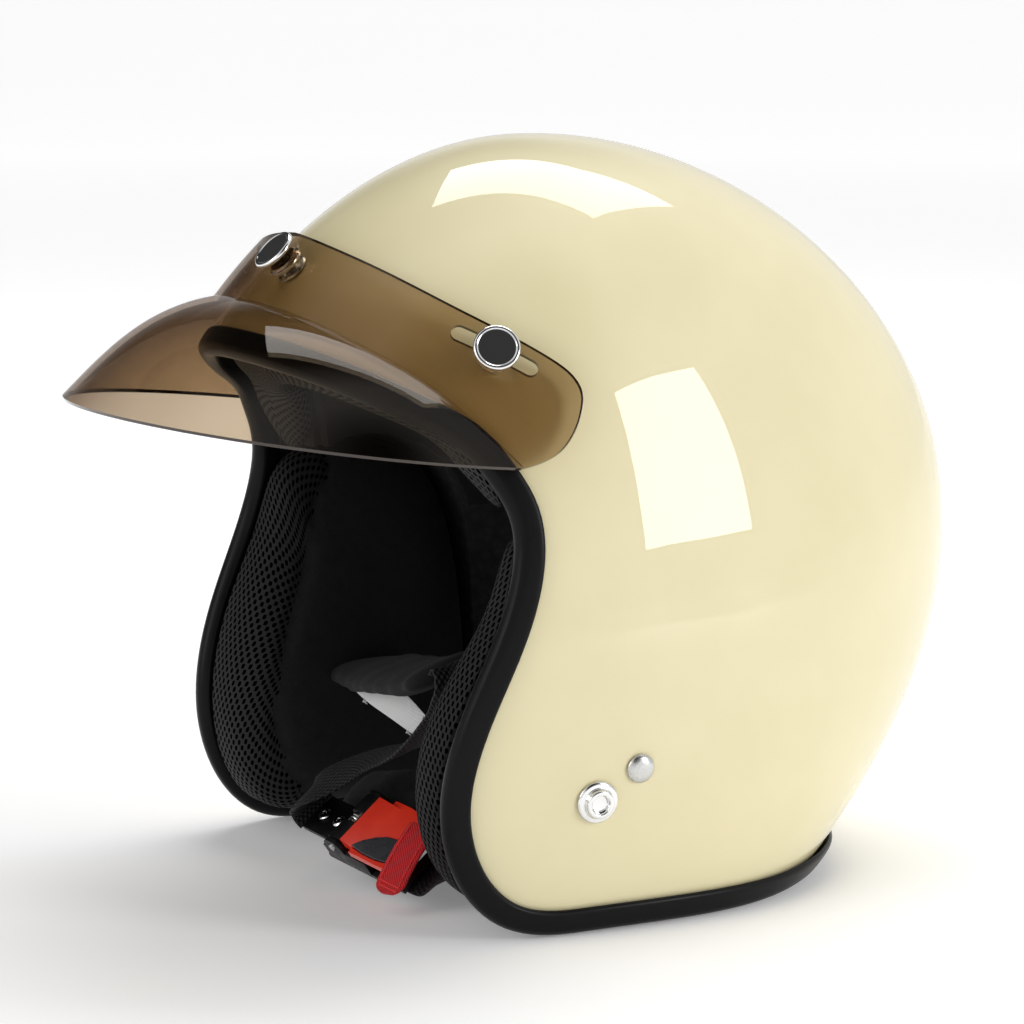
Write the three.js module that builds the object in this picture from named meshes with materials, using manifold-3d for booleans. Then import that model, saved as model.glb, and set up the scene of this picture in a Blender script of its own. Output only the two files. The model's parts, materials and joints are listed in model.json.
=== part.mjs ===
// Open face motorcycle helmet with a three-snap peak and a quick-release chin strap.
// Millimetres. +Z up, -Y is the front (face opening), +X is the wearer's left.
// The helmet stands on the lower edge of its rubber trim, origin under the middle of its bounding box.
import * as THREE from 'three';
import { mergeVertices } from 'three/addons/utils/BufferGeometryUtils.js';
import Module from 'manifold-3d';

const wasm = await Module();
wasm.setup();
const V = (x, y, z) => new THREE.Vector3(x, y, z);

// ---- driving dimensions -------------------------------------------------
const ORIGIN_SHIFT_Y = 3.75, ORIGIN_SHIFT_Z = 0.5;        // puts the bounding box's base centre at the origin
const SHELL = 3.0;                 // shell wall
const CROWN_Z = 269.3;             // top of the shell
const HALF_WIDTH = 114.6, WIDTH_Z = 76.4;    // widest half width and its height
const BACK = 164.3, BACK_Z = 129.0;          // reach of the back and its height
const FRONT = 151.1, FRONT_Z = 86.0;         // reach of the (cut away) front
const MID_Y = 0.3;
const EPS_OUT = -4.3, EPS_IN = -27.0;        // energy liner between these offsets
const CROWN_OUT = -28.2, CROWN_IN = -33.8;   // comfort liner
const TRIM_SETBACK = 3.0;          // shell edge behind the outermost line of the trim
const TRIM_FLANGE = 7.5, TRIM_T = 2.1, TRIM_GAP = 0.65;
const PAD_OFF = -8.4, PAD_T = 40;  // cheek pad back face and thickness
const BAND_OFF = 6.6, BAND_RISE = 1.5, PEAK_T = 2.0;
const CAP_R = 8.2, SOCKET_R = 6.6;
const WEB_W = 22, WEB_T = 1.8;

// ---- shell surface ------------------------------------------------------
const clamp = (v, a, b) => Math.min(b, Math.max(a, v));
function prof(z, B, zE, c, k, r, T) {
  if (z >= zE) { const up = clamp((z - zE) / (T - zE), 0, 1); return B * Math.sqrt(Math.max(1 - up * up, 1e-9)) * (1 + c * up * up); }
  const dn = clamp((zE - z) / r, 0, 2); return B * (1 - k * dn * dn);
}
const mExp = (z) => { const q = clamp((z - 105.05) / (CROWN_Z - 105.05), 0, 1); return 2 + 0.302 * (1 - q * q); };
const semi = (z, off) => [prof(z, HALF_WIDTH + off, WIDTH_Z, 0.093, 0.077, 66.85, CROWN_Z + off),
  prof(z, FRONT + off, FRONT_Z, -0.093, 0, 76.4, CROWN_Z + off), prof(z, BACK + off, BACK_Z, -0.055, 0.354, 119.5, CROWN_Z + off)];
function xs(y, z, off) {
  const [a, bf, bb] = semi(z, off), d = y - MID_Y, b = d < 0 ? bf : bb, m = mExp(z);
  return a * Math.pow(clamp(1 - Math.pow(Math.abs(d / b), m), 0, 1), 1 / m);
}
function F(p, off) {
  if (p.z >= CROWN_Z + off) return 1 + (p.z - CROWN_Z - off);
  const [a, bf, bb] = semi(p.z, off), d = p.y - MID_Y, b = d < 0 ? bf : bb, m = mExp(p.z);
  return Math.pow(Math.abs(p.x / a), m) + Math.pow(Math.abs(d / b), m) - 1;
}
function normalAt(p, off = 0) {
  const e = 0.05, g = V(F(V(p.x + e, p.y, p.z), off) - F(V(p.x - e, p.y, p.z), off), F(V(p.x, p.y + e, p.z), off) - F(V(p.x, p.y - e, p.z), off), F(V(p.x, p.y, p.z + e), off) - F(V(p.x, p.y, p.z - e), off));
  return g.normalize();
}
function onSurf(p, off) {
  const q = V(0, MID_Y, 100), d = p.clone().sub(q); let lo = 0.3, hi = 1.8;
  for (let i = 0; i < 36; i++) { const m = (lo + hi) / 2; if (F(q.clone().addScaledVector(d, m), off) < 0) lo = m; else hi = m; }
  return q.addScaledVector(d, lo);
}

// ---- geometry helpers ---------------------------------------------------
function clean(geo) {
  for (const k of Object.keys(geo.attributes)) if (k !== 'position') geo.deleteAttribute(k);
  geo.morphAttributes = {};
  const g = mergeVertices(geo, 1e-4), ix = g.index.array, out = [];
  for (let i = 0; i < ix.length; i += 3) if (ix[i] !== ix[i + 1] && ix[i + 1] !== ix[i + 2] && ix[i] !== ix[i + 2]) out.push(ix[i], ix[i + 1], ix[i + 2]);
  const p = g.attributes.position; let vol = 0; const a = V(), b = V(), c = V();
  for (let i = 0; i < out.length; i += 3) { a.fromBufferAttribute(p, out[i]); b.fromBufferAttribute(p, out[i + 1]); c.fromBufferAttribute(p, out[i + 2]); vol += a.dot(b.cross(c)); }
  if (vol < 0) for (let i = 0; i < out.length; i += 3) { const t = out[i]; out[i] = out[i + 1]; out[i + 1] = t; }
  g.setIndex(out); return g;
}
const solid = (geo) => { const g = clean(geo); return new wasm.Manifold(new wasm.Mesh({ numProp: 3, vertProperties: new Float32Array(g.attributes.position.array), triVerts: new Uint32Array(g.index.array) })); };
function geom(man) {
  const m = man.getMesh(), g = new THREE.BufferGeometry(), n = m.vertProperties.length / m.numProp, pos = new Float32Array(n * 3);
  for (let i = 0; i < n; i++) for (let k = 0; k < 3; k++) pos[3 * i + k] = m.vertProperties[i * m.numProp + k];
  g.setAttribute('position', new THREE.BufferAttribute(pos, 3)); g.setIndex(Array.from(m.triVerts)); return g;
}
// rings of equal length, joined in order; closed = last ring joins the first, else both ends are capped
function loft(rings, closed = false) {
  const n = rings[0].length, pos = [], ix = [];
  for (const r of rings) for (const p of r) pos.push(p.x, p.y, p.z);
  const R = rings.length, last = closed ? R : R - 1;
  for (let i = 0; i < last; i++) { const a = i * n, b = ((i + 1) % R) * n; for (let j = 0; j < n; j++) { const k = (j + 1) % n; ix.push(a + j, a + k, b + j, b + j, a + k, b + k); } }
  if (!closed) for (const [base, flip] of [[0, true], [(R - 1) * n, false]]) {
    const c = V(); for (let j = 0; j < n; j++) c.add(rings[base / n][j]); c.divideScalar(n); const ci = pos.length / 3; pos.push(c.x, c.y, c.z);
    for (let j = 0; j < n; j++) { const k = (j + 1) % n; if (flip) ix.push(ci, base + k, base + j); else ix.push(ci, base + j, base + k); }
  }
  const g = new THREE.BufferGeometry(); g.setAttribute('position', new THREE.BufferAttribute(new Float32Array(pos), 3)); g.setIndex(ix); return clean(g);
}
// natural cubic spline through rows of numbers, parameter 0..1 with the square root of the chord
function spline(P) {
  const n = P.length, s = [0], D = P[0].length;
  for (let i = 1; i < n; i++) { let d = 0; for (let k = 0; k < D; k++) d += (P[i][k] - P[i - 1][k]) ** 2; s.push(s[i - 1] + Math.pow(d, 0.25)); }
  for (let i = 0; i < n; i++) s[i] /= s[n - 1] || 1; const S = s[n - 1]; for (let i = 0; i < n; i++) s[i] /= S;
  const M = [];
  for (let k = 0; k < D; k++) {
    const a = Array(n).fill(0), b = Array(n).fill(1), c = Array(n).fill(0), d = Array(n).fill(0);
    for (let i = 1; i < n - 1; i++) { a[i] = s[i] - s[i - 1]; b[i] = 2 * (s[i + 1] - s[i - 1]); c[i] = s[i + 1] - s[i]; d[i] = 6 * ((P[i + 1][k] - P[i][k]) / c[i] - (P[i][k] - P[i - 1][k]) / a[i]); }
    for (let i = 1; i < n; i++) { const w = a[i] / b[i - 1]; b[i] -= w * c[i - 1]; d[i] -= w * d[i - 1]; }
    const m = Array(n).fill(0); m[n - 1] = d[n - 1] / b[n - 1]; for (let i = n - 2; i >= 0; i--) m[i] = (d[i] - c[i] * m[i + 1]) / b[i]; M.push(m);
  }
  return (t) => {
    let i = 1; while (i < n - 1 && t > s[i]) i++; const h = s[i] - s[i - 1], u = (s[i] - t) / h, v = (t - s[i - 1]) / h;
    return P[0].map((_, k) => u * P[i - 1][k] + v * P[i][k] + ((u ** 3 - u) * M[k][i - 1] + (v ** 3 - v) * M[k][i]) * h * h / 6);
  };
}
function evenly(pts, n) {           // n + 1 points at even spacing along a polyline of Vector3
  const s = [0]; for (let i = 1; i < pts.length; i++) s.push(s[i - 1] + pts[i].distanceTo(pts[i - 1]));
  const out = []; let i = 1;
  for (let k = 0; k <= n; k++) { const t = s[s.length - 1] * k / n; while (i < s.length - 1 && s[i] < t) i++; out.push(pts[i - 1].clone().lerp(pts[i], (t - s[i - 1]) / (s[i] - s[i - 1] || 1))); }
  return out;
}
function curve3(P, n, m = 300) { const f = spline(P); const d = []; for (let i = 0; i <= m; i++) d.push(V(...f(i / m))); return evenly(d, n); }
function orient(geo, pos, dir) {     // geometry made along +Y is turned to dir and moved to pos
  const q = new THREE.Quaternion().setFromUnitVectors(V(0, 1, 0), dir.clone().normalize()); geo.applyQuaternion(q); geo.translate(pos.x, pos.y, pos.z); return geo;
}
const lathe = (prof2, seg = 14) => clean(new THREE.LatheGeometry(prof2.map(([r, h]) => new THREE.Vector2(r, h)), seg));
const cyl = (r, h, seg = 16) => new THREE.CylinderGeometry(r, r, h, seg);
// strap: a flat band along points with a width direction at each point
function strap(P, Wd, w, t, n, round = 0.35, capR = 0) {
  const c = curve3(P, n), rings = [], s = [0];
  for (let i = 1; i < P.length; i++) s.push(s[i - 1] + V(...P[i]).distanceTo(V(...P[i - 1])));
  const fw = (t) => { let i = 1; const d = t * s[s.length - 1]; while (i < s.length - 1 && d > s[i]) i++; return V(...Wd[i - 1]).lerp(V(...Wd[i]), clamp((d - s[i - 1]) / (s[i] - s[i - 1]), 0, 1)); };
  for (let i = 0; i <= n; i++) {
    const T = c[Math.min(i + 1, n)].clone().sub(c[Math.max(i - 1, 0)]).normalize();
    const W = fw(i / n); W.addScaledVector(T, -W.dot(T)).normalize(); const N = T.clone().cross(W);
    let k = 1; if (capR) { const e = Math.min(i, n - i) / n * 1.0; k = e < capR ? Math.sqrt(Math.max(1 - (1 - e / capR) ** 2, 0.16)) : 1; }
    const a = w / 2 * k, b = t / 2 * k, cc = Math.min(a, b) * round * 2, pts = [[-a, -b + cc], [-a + cc, -b], [a - cc, -b], [a, -b + cc], [a, b - cc], [a - cc, b], [-a + cc, b], [-a, b - cc]];
    rings.push(pts.map(([u, v]) => c[i].clone().addScaledVector(W, u).addScaledVector(N, v)));
  }
  return loft(rings);
}
const yzPrism = (pts, x0, x1) => {   // polygon in (y, z) carried along X
  const g = new THREE.ExtrudeGeometry(new THREE.Shape(pts.map(([y, z]) => new THREE.Vector2(y, z))), { depth: x1 - x0, bevelEnabled: false, steps: 1 });
  g.applyMatrix4(new THREE.Matrix4().set(0, 0, 1, x0, 1, 0, 0, 0, 0, 1, 0, 0, 0, 0, 0, 1)); return g;
};

// ---- edge line of the opening, side view (y, z): brow to nape ------------
const EDGE = [[-116.5, 194.1], [-101.3, 186.1], [-87.3, 177.9], [-74.9, 170.0], [-68.1, 160.4], [-61.9, 145.1], [-66.9, 116.3], [-80.6, 83.8], [-88.1, 49.9], [-80.7, 20.8], [-64.7, 4.6], [-48, 0], [-28, 0], [34, 0], [70, 2.0], [114, 6.5]];
const edgeAt = spline(EDGE);
function edgeOffset(d, n = 90, ext = true) {
  const out = [];
  for (let i = 0; i <= n; i++) { const t = i / n, p = edgeAt(t), a = edgeAt(Math.max(t - 1e-3, 0)), b = edgeAt(Math.min(t + 1e-3, 1)); const ty = b[0] - a[0], tz = b[1] - a[1], l = Math.hypot(ty, tz); out.push([p[0] - tz / l * d, p[1] + ty / l * d]); }
  if (ext) { const [a, b] = [out[0], out[1]], l = Math.hypot(a[0] - b[0], a[1] - b[1]); out.unshift([a[0] + (a[0] - b[0]) / l * 150, a[1] + (a[1] - b[1]) / l * 150]); const [c, e] = [out[out.length - 1], out[out.length - 2]], m = Math.hypot(c[0] - e[0], c[1] - e[1]); out.push([c[0] + (c[0] - e[0]) / m * 150, c[1] + (c[1] - e[1]) / m * 150]); }
  return out;
}
const openingCut = (d) => { const p = edgeOffset(d, 56); return solid(yzPrism([...p, [p[p.length - 1][0], -120], [p[0][0], -120]], -160, 160)); };
function ovoid(off, nu, nz, zb = -16) {
  const rings = [], T = CROWN_Z + off;
  for (let i = 0; i < nz; i++) {
    const z = zb + (T - zb) * Math.sin(Math.PI / 2 * i / nz * 0.992), [a, bf, bb] = semi(z, off), m = mExp(z), r = [];
    for (let j = 0; j < nu; j++) { const t = 2 * Math.PI * j / nu, c = Math.cos(t), s = Math.sin(t); r.push(V(a * Math.sign(c) * Math.pow(Math.abs(c), 2 / m), MID_Y + (s < 0 ? bf : bb) * Math.sign(s) * Math.pow(Math.abs(s), 2 / m), z)); }
    rings.push(r);
  }
  return solid(loft(rings));
}
// point, tangent, normal and edge direction along the rim, at depth off and setback d behind the edge line
function rimPath(d, off, n, t0 = 0, t1 = 1) {
  const pl = [], p = edgeOffset(d, 600, true), Y = (q) => MID_Y - 0;
  const dense = []; for (let i = 0; i < p.length - 1; i++) { const k = i === 0 || i === p.length - 2 ? 200 : 4; for (let j = 0; j < k; j++) dense.push([p[i][0] + (p[i + 1][0] - p[i][0]) * j / k, p[i][1] + (p[i + 1][1] - p[i][1]) * j / k]); }
  const inside = ([y, z]) => z < CROWN_Z + off && F(V(0, y, z), off) < 0;
  let a = dense.findIndex(inside), b = dense.length - 1; while (!inside(dense[b])) b--;
  const cross = (q, w) => { let u = q, v = w; for (let i = 0; i < 40; i++) { const m = [(u[0] + v[0]) / 2, (u[1] + v[1]) / 2]; if (inside(m)) u = m; else v = m; } return u; };
  const s0 = cross(dense[a], dense[a - 1]), s1 = cross(dense[b], dense[b + 1]);
  const refine = (u, v) => { const o = []; for (let i = 0; i < 24; i++) { const w = (i / 24) ** 2; o.push([u[0] + (v[0] - u[0]) * w, u[1] + (v[1] - u[1]) * w]); } return o; };
  const line = [...refine(s0, dense[a + 1]), ...dense.slice(a + 1, b), ...refine(s1, dense[b - 1]).reverse()];
  const half = line.map(([y, z]) => V(xs(y, z, off), y, z)); half[0].x = 0; half[half.length - 1].x = 0;
  return evenly(half, n);
}
function frames(loop, closed, off) {
  const n = loop.length;
  return loop.map((p, i) => {
    const a = closed ? loop[(i + n - 1) % n] : loop[Math.max(i - 1, 0)], b = closed ? loop[(i + 1) % n] : loop[Math.min(i + 1, n - 1)];
    const T = b.clone().sub(a).normalize(), N = normalAt(p, off); N.addScaledVector(T, -N.dot(T)).normalize();
    return { p, T, N, E: T.clone().cross(N) };
  });
}
const fullLoop = (half) => [...half, ...half.slice(1, -1).reverse().map((p) => V(-p.x, p.y, p.z))];

// ---- materials ------------------------------------------------------------
const mat = (c, r, m = 0, o = 1) => new THREE.MeshStandardMaterial({ color: c, roughness: r, metalness: m, transparent: o < 1, opacity: o });
const M = { cream: mat(0xe5dcb4, 0.12), rubber: mat(0x1a1a1c, 0.5), eps: mat(0x2a2a2c, 0.9), cloth: mat(0x161617, 0.95), mesh: mat(0x1c1c1f, 0.9), smoke: mat(0x4a3a2c, 0.08, 0, 0.55), chrome: mat(0xd8d8da, 0.12, 1), steel: mat(0xb0b0b2, 0.3, 1), plastic: mat(0x17181a, 0.4), grey: mat(0x3c4246, 0.55), red: mat(0xd8221c, 0.35), tab: mat(0xb5121b, 0.85), web: mat(0x1b1b1e, 0.9), label: mat(0xe6e8f0, 0.6) };
const helmet = new THREE.Group();
helmet.position.set(0, ORIGIN_SHIFT_Y, ORIGIN_SHIFT_Z);
function add(name, geo, material) { const m = new THREE.Mesh(geo, material); m.name = name; helmet.add(m); return m; }

// ---- fixings: position on the shell and outward normal ----------------------
const at = (x, y, z) => { const p = V(x, y, z); return { p, n: normalAt(p) }; };
const SNAP_Y = -58.2, SNAP_Z = 199.8, SNAP_X = xs(SNAP_Y, SNAP_Z, 0);
const CENTRE_Z = 224.3, CENTRE_Y = (() => { const [, bf] = semi(CENTRE_Z, 0); return MID_Y - bf; })();
const RING_Y = -34.8, RING_Z = 48.2, RING_X = xs(RING_Y, RING_Z, 0);
const RIVET_Y = -18.9, RIVET_Z = 58.7, RIVET_X = xs(RIVET_Y, RIVET_Z, 0);
const snaps = { left: at(SNAP_X, SNAP_Y, SNAP_Z), right: at(-SNAP_X, SNAP_Y, SNAP_Z), centre: at(0, CENTRE_Y, CENTRE_Z) };
const rings = { left: at(RING_X, RING_Y, RING_Z), right: at(-RING_X, RING_Y, RING_Z) };
const rivets = { left: at(RIVET_X, RIVET_Y, RIVET_Z), right: at(-RIVET_X, RIVET_Y, RIVET_Z) };

// ---- shell ------------------------------------------------------------------
let shell = ovoid(0, 48, 18).subtract(ovoid(-SHELL, 48, 18)).subtract(openingCut(TRIM_SETBACK));
for (const f of [...Object.values(snaps), ...Object.values(rings)]) shell = shell.subtract(solid(orient(cyl(2.0, 16, 12), f.p, f.n)));
for (const f of Object.values(rivets)) shell = shell.subtract(solid(orient(cyl(2.8, 16, 12), f.p, f.n)));
add('outer_shell', geom(shell), M.cream);

// ---- edge trim: U section on the shell edge, all the way round ---------------
{
  const half = rimPath(TRIM_SETBACK, -SHELL / 2, 38), loop = fullLoop(half), fr = frames(loop, true, -SHELL / 2);
  const o = SHELL / 2 + TRIM_T + TRIM_GAP, i = SHELL / 2 + TRIM_GAP + 0.15, j = i + 0.3;
  const sec = [[-TRIM_FLANGE, i], [-TRIM_FLANGE + 0.2, o - 0.7], [-TRIM_FLANGE + 1.4, o], [0, o], [1.9, o - 0.9], [2.9, o - 2.4], [3.0, 0], [2.9, -o + 2.4], [1.9, -o + 0.9], [0, -o], [-TRIM_FLANGE + 1.6, -o], [-TRIM_FLANGE + 0.6, -j], [1.9, -j], [1.9, i]];
  add('edge_trim', loft(fr.map((f) => sec.map(([e, n]) => f.p.clone().addScaledVector(f.E, e).addScaledVector(f.N, n))), true), M.rubber);
}

// ---- liners -------------------------------------------------------------------
const CHEEK = [[-54.5, 139], [-59.5, 128], [-64.6, 112], [-77.8, 83.5], [-85.3, 50], [-78.5, 22], [-64, 9.5], [-44, 8.6], [-10, 8.6], [12, 10], [21, 26], [22, 70], [18, 112], [6, 136], [-16, 147], [-38, 148]];
const cheekShape = (grow) => {
  const c = new THREE.CatmullRomCurve3(CHEEK.map(([y, z]) => V(0, y, z)), true, 'centripetal').getPoints(32).slice(0, 32), n = c.length;
  return c.map((p, i) => { const a = c[(i + n - 1) % n], b = c[(i + 1) % n], ty = b.y - a.y, tz = b.z - a.z, l = Math.hypot(ty, tz); return [p.y - tz / l * grow, p.z + ty / l * grow]; });
};
// grow > 0 must enlarge the outline: its points run front side first, downwards
function grown(g) { const a = cheekShape(g), b = cheekShape(0); const A = (s) => Math.abs(s.reduce((t, [y, z], i) => t + y * s[(i + 1) % s.length][1] - z * s[(i + 1) % s.length][0], 0)); return A(a) > A(b) ? a : cheekShape(-g); }
const cheekCut = solid(yzPrism(grown(4).map(([y, z]) => [y, z < 14 ? -40 : z]), -160, 160));
add('eps_liner', geom(ovoid(EPS_OUT, 32, 12).subtract(ovoid(EPS_IN, 32, 12)).subtract(openingCut(13.4)).subtract(cheekCut).subtract(solid(yzPrism([[18, -60], [220, -60], [220, 37], [18, 31]], -160, 160)))), M.eps);
add('crown_liner', geom(ovoid(CROWN_OUT, 32, 12).subtract(ovoid(CROWN_IN, 32, 12)).subtract(openingCut(16)).subtract(cheekCut).subtract(solid(yzPrism([[-200, -60], [200, -60], [200, 62], [60, 62], [40, 120], [-200, 120]], -160, 160)))), M.cloth);

// rolls that cover the liner's edge: brow band and neck roll
function roll(d, off, hn, he, i0, i1, n, total) {
  const half = rimPath(d, off, total), use = half.slice(i0, i1 + 1);
  const path = i0 === 0 ? [...use.slice(1).reverse().map((p) => V(-p.x, p.y, p.z)), ...use] : [...use, ...use.slice(0, -1).reverse().map((p) => V(-p.x, p.y, p.z))];
  const fr = frames(path, false, off), R = [], N = fr.length - 1;
  fr.forEach((f, i) => { const e = Math.min(i, N - i), k = e < 2 ? [0.55, 0.88][e] : 1; R.push(Array.from({ length: n }, (_, j) => { const t = 2 * Math.PI * j / n, c = Math.cos(t), s = Math.sin(t), q = 0.6; return f.p.clone().addScaledVector(f.E, he * k * Math.sign(c) * Math.abs(c) ** q).addScaledVector(f.N, hn * k * Math.sign(s) * Math.abs(s) ** q); })); });
  return loft(R);
}
add('brow_pad', roll(7.4, -20.5, 12, 5.2, 0, 14, 10, 60), M.mesh);
add('neck_roll', roll(17.8, -20.3, 8.2, 5.7, 45, 60, 10, 60), M.cloth);

// cheek pads: foam behind, cloth in front, with the slot that the strap comes through
function pillow(outline, off, t0, tEdge, side, power = 4) {
  const n = outline.length, cy = outline.reduce((s, p) => s + p[0], 0) / n, cz = outline.reduce((s, p) => s + p[1], 0) / n, rr = [0.4, 0.68, 0.86, 0.95, 1];
  const at2 = (r, j) => [cy + (outline[j][0] - cy) * r, cz + (outline[j][1] - cz) * r];
  const taper = (z) => { const q = clamp((z - 62) / 92, 0, 1); return 1 - 0.5 * q * q * (3 - 2 * q); };
  const T = (r) => tEdge + (t0 - tEdge) * Math.pow(Math.max(1 - r ** power, 0), 0.5);
  const out = rr.map((r) => outline.map((_, j) => { const [y, z] = at2(r, j); return V(side * xs(y, z, off), y, z); }));
  const inn = rr.map((r) => outline.map((_, j) => { const [y, z] = at2(r, j); return V(side * (xs(y, z, off) - T(r) * taper(z)), y, z); }));
  return loft([...out, ...inn.reverse()]);
}
const outline = grown(0);
// ---- chin strap geometry --------------------------------------------------------
const B0 = V(-23, -81, 13.5), BL = V(0.981, 0.16, -0.11).normalize(), BW = V(-0.06, 0.788, 0.612); BW.addScaledVector(BL, -BW.dot(BL)).normalize(); const BN = BL.clone().cross(BW);
const bp = (l, w, h) => B0.clone().addScaledVector(BL, l).addScaledVector(BW, w).addScaledVector(BN, h);
const arr = (v) => [v.x, v.y, v.z];
const SLEEVE = [[-95, -25.2, 59], [-70, -31.4, 58.8], [-35, -39.8, 63.3], [0, -50, 71.9], [28, -53.5, 79.5], [43, -56, 85.5]];
const SLEEVE_W = [[0, 0.8, -0.6], [0, 0.97, 0.0], [0, 0.97, 0.24], [0, 0.97, 0.24], [-0.1, 0.97, 0.24], [-0.1, 0.97, 0.24]];
const NEAR = [[103.2, -30.5, 46], [95, -34.5, 42.5], [80, -42, 33.5], [62, -52, 20.5], [50, -58, 14], arr(bp(68, 11, -2.9)), arr(bp(57, 11, -2.9))];
const NEAR_W = [[0, 0.8, -0.6], [0, 0.85, -0.5], [0, 0.95, -0.1], [0, 0.95, 0.3], [0, 0.85, 0.5], arr(BW), arr(BW)];
const slotLeft = solid(strap([[116, -26, 48], ...NEAR.slice(0, 4), NEAR[4]], [NEAR_W[0], ...NEAR_W.slice(0, 5)], 27, 8, 10));
const slotRight = solid(strap([[-116, -23, 58], ...SLEEVE.slice(0, 3)], [SLEEVE_W[0], ...SLEEVE_W.slice(0, 3)], 34, 14, 10));
for (const [side, s, slot] of [['left', 1, slotLeft], ['right', -1, slotRight]]) {
  const pocket = new THREE.BoxGeometry(22, 44, 46); pocket.translate(s * 110, -25, 52);
  add(`cheek_pad_${side}`, geom(solid(pillow(outline, PAD_OFF, PAD_T, 9, s)).subtract(slot).subtract(solid(pocket))), M.mesh);
}

// ---- snaps: stud on the shell, socket under the peak, cap over it ---------------------
for (const [k, f] of Object.entries(snaps)) {
  const up = k === 'centre' ? BAND_RISE : 0, put = (g) => orient(g, f.p, f.n);
  add(`snap_stud_${k}`, put(lathe([[0, -2.6], [1.6, -2.6], [1.6, 0.45], [6.0, 0.45], [6.2, 0.8], [5.8, 1.4], [2.3, 1.7 + up * 0.7], [2.0, 2.3 + up], [2.8, 2.8 + up], [2.6, 3.4 + up], [0, 3.5 + up]])), M.steel);
  add(`snap_socket_${k}`, put(lathe([[0, 4.2 + up], [5.0, 4.2 + up], [5.0, 2.3 + up], [5.3, 2.25 + up], [6.3, 2.25 + up], [SOCKET_R, 2.4 + up], [SOCKET_R, 3.6 + up], [5.8, 4.0 + up], [5.4, 4.75 + up], [0, 4.75 + up]])), M.chrome);
  add(`snap_cap_${k}`, put(lathe([[0, 5.3 + up], [2.2, 5.3 + up], [2.2, 8.3 + up], [7.6, 8.3 + up], [CAP_R, 8.7 + up], [CAP_R, 9.7 + up], [7.8, 10.3 + up], [7.0, 10.45 + up], [0, 10.45 + up]], 20)), M.chrome);
}
for (const [k, f] of Object.entries(rings)) add(`ring_snap_${k}`, orient(lathe([[0, -2.6], [1.6, -2.6], [1.6, 0.45], [7.4, 0.45], [7.6, 0.9], [7.0, 1.6], [5.4, 1.8], [5.2, 3.2], [4.8, 3.9], [3.6, 4.0], [3.2, 3.4], [3.0, 1.8], [0, 1.8]]), f.p, f.n), M.chrome);
for (const [k, f] of Object.entries(rivets)) {
  add(`strap_rivet_${k}`, orient(lathe([[0, -9.6], [2.9, -9.6], [3.2, -9.0], [2.2, -8.7], [2.2, 0.45], [5.2, 0.45], [5.2, 0.9], [4.2, 1.9], [2.3, 2.6], [0, 2.8]]), f.p, f.n), M.steel);
  add(`rivet_washer_${k}`, orient(lathe([[2.6, -8.3], [5.4, -8.3], [5.4, -7.1], [2.6, -7.1], [2.6, -8.3]], 16), f.p, f.n), M.steel);
  // anchor plate: pear-shaped, riveted at one end and slotted for the webbing at the other
  const s = new THREE.Shape(); s.absarc(0, 0, 8, Math.PI * 0.12, Math.PI * 0.88, false); s.lineTo(-14, -15); s.quadraticCurveTo(-14, -19, -10, -19); s.lineTo(10, -19); s.quadraticCurveTo(14, -19, 14, -15); s.closePath();
  const plate = (shape) => { const g = new THREE.ExtrudeGeometry(shape, { depth: 2, bevelEnabled: false, curveSegments: 8 }); g.translate(0, 0, -6.7); return g; };
  const up = V(0, 0.6, 0.8); up.addScaledVector(f.n, -up.dot(f.n)).normalize(); const ax = up.clone().cross(f.n);
  const hole = cyl(2.6, 10, 12); hole.rotateX(Math.PI / 2); hole.translate(0, 0, -6); const slot = new THREE.BoxGeometry(23, 3.5, 10); slot.translate(0, -13.2, -6);
  const g = geom(solid(plate(s)).subtract(solid(hole)).subtract(solid(slot)));
  g.applyMatrix4(new THREE.Matrix4().makeBasis(ax, up, f.n)); g.translate(f.p.x, f.p.y, f.p.z);
  add(`anchor_plate_${k}`, g, M.steel);
}

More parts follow.
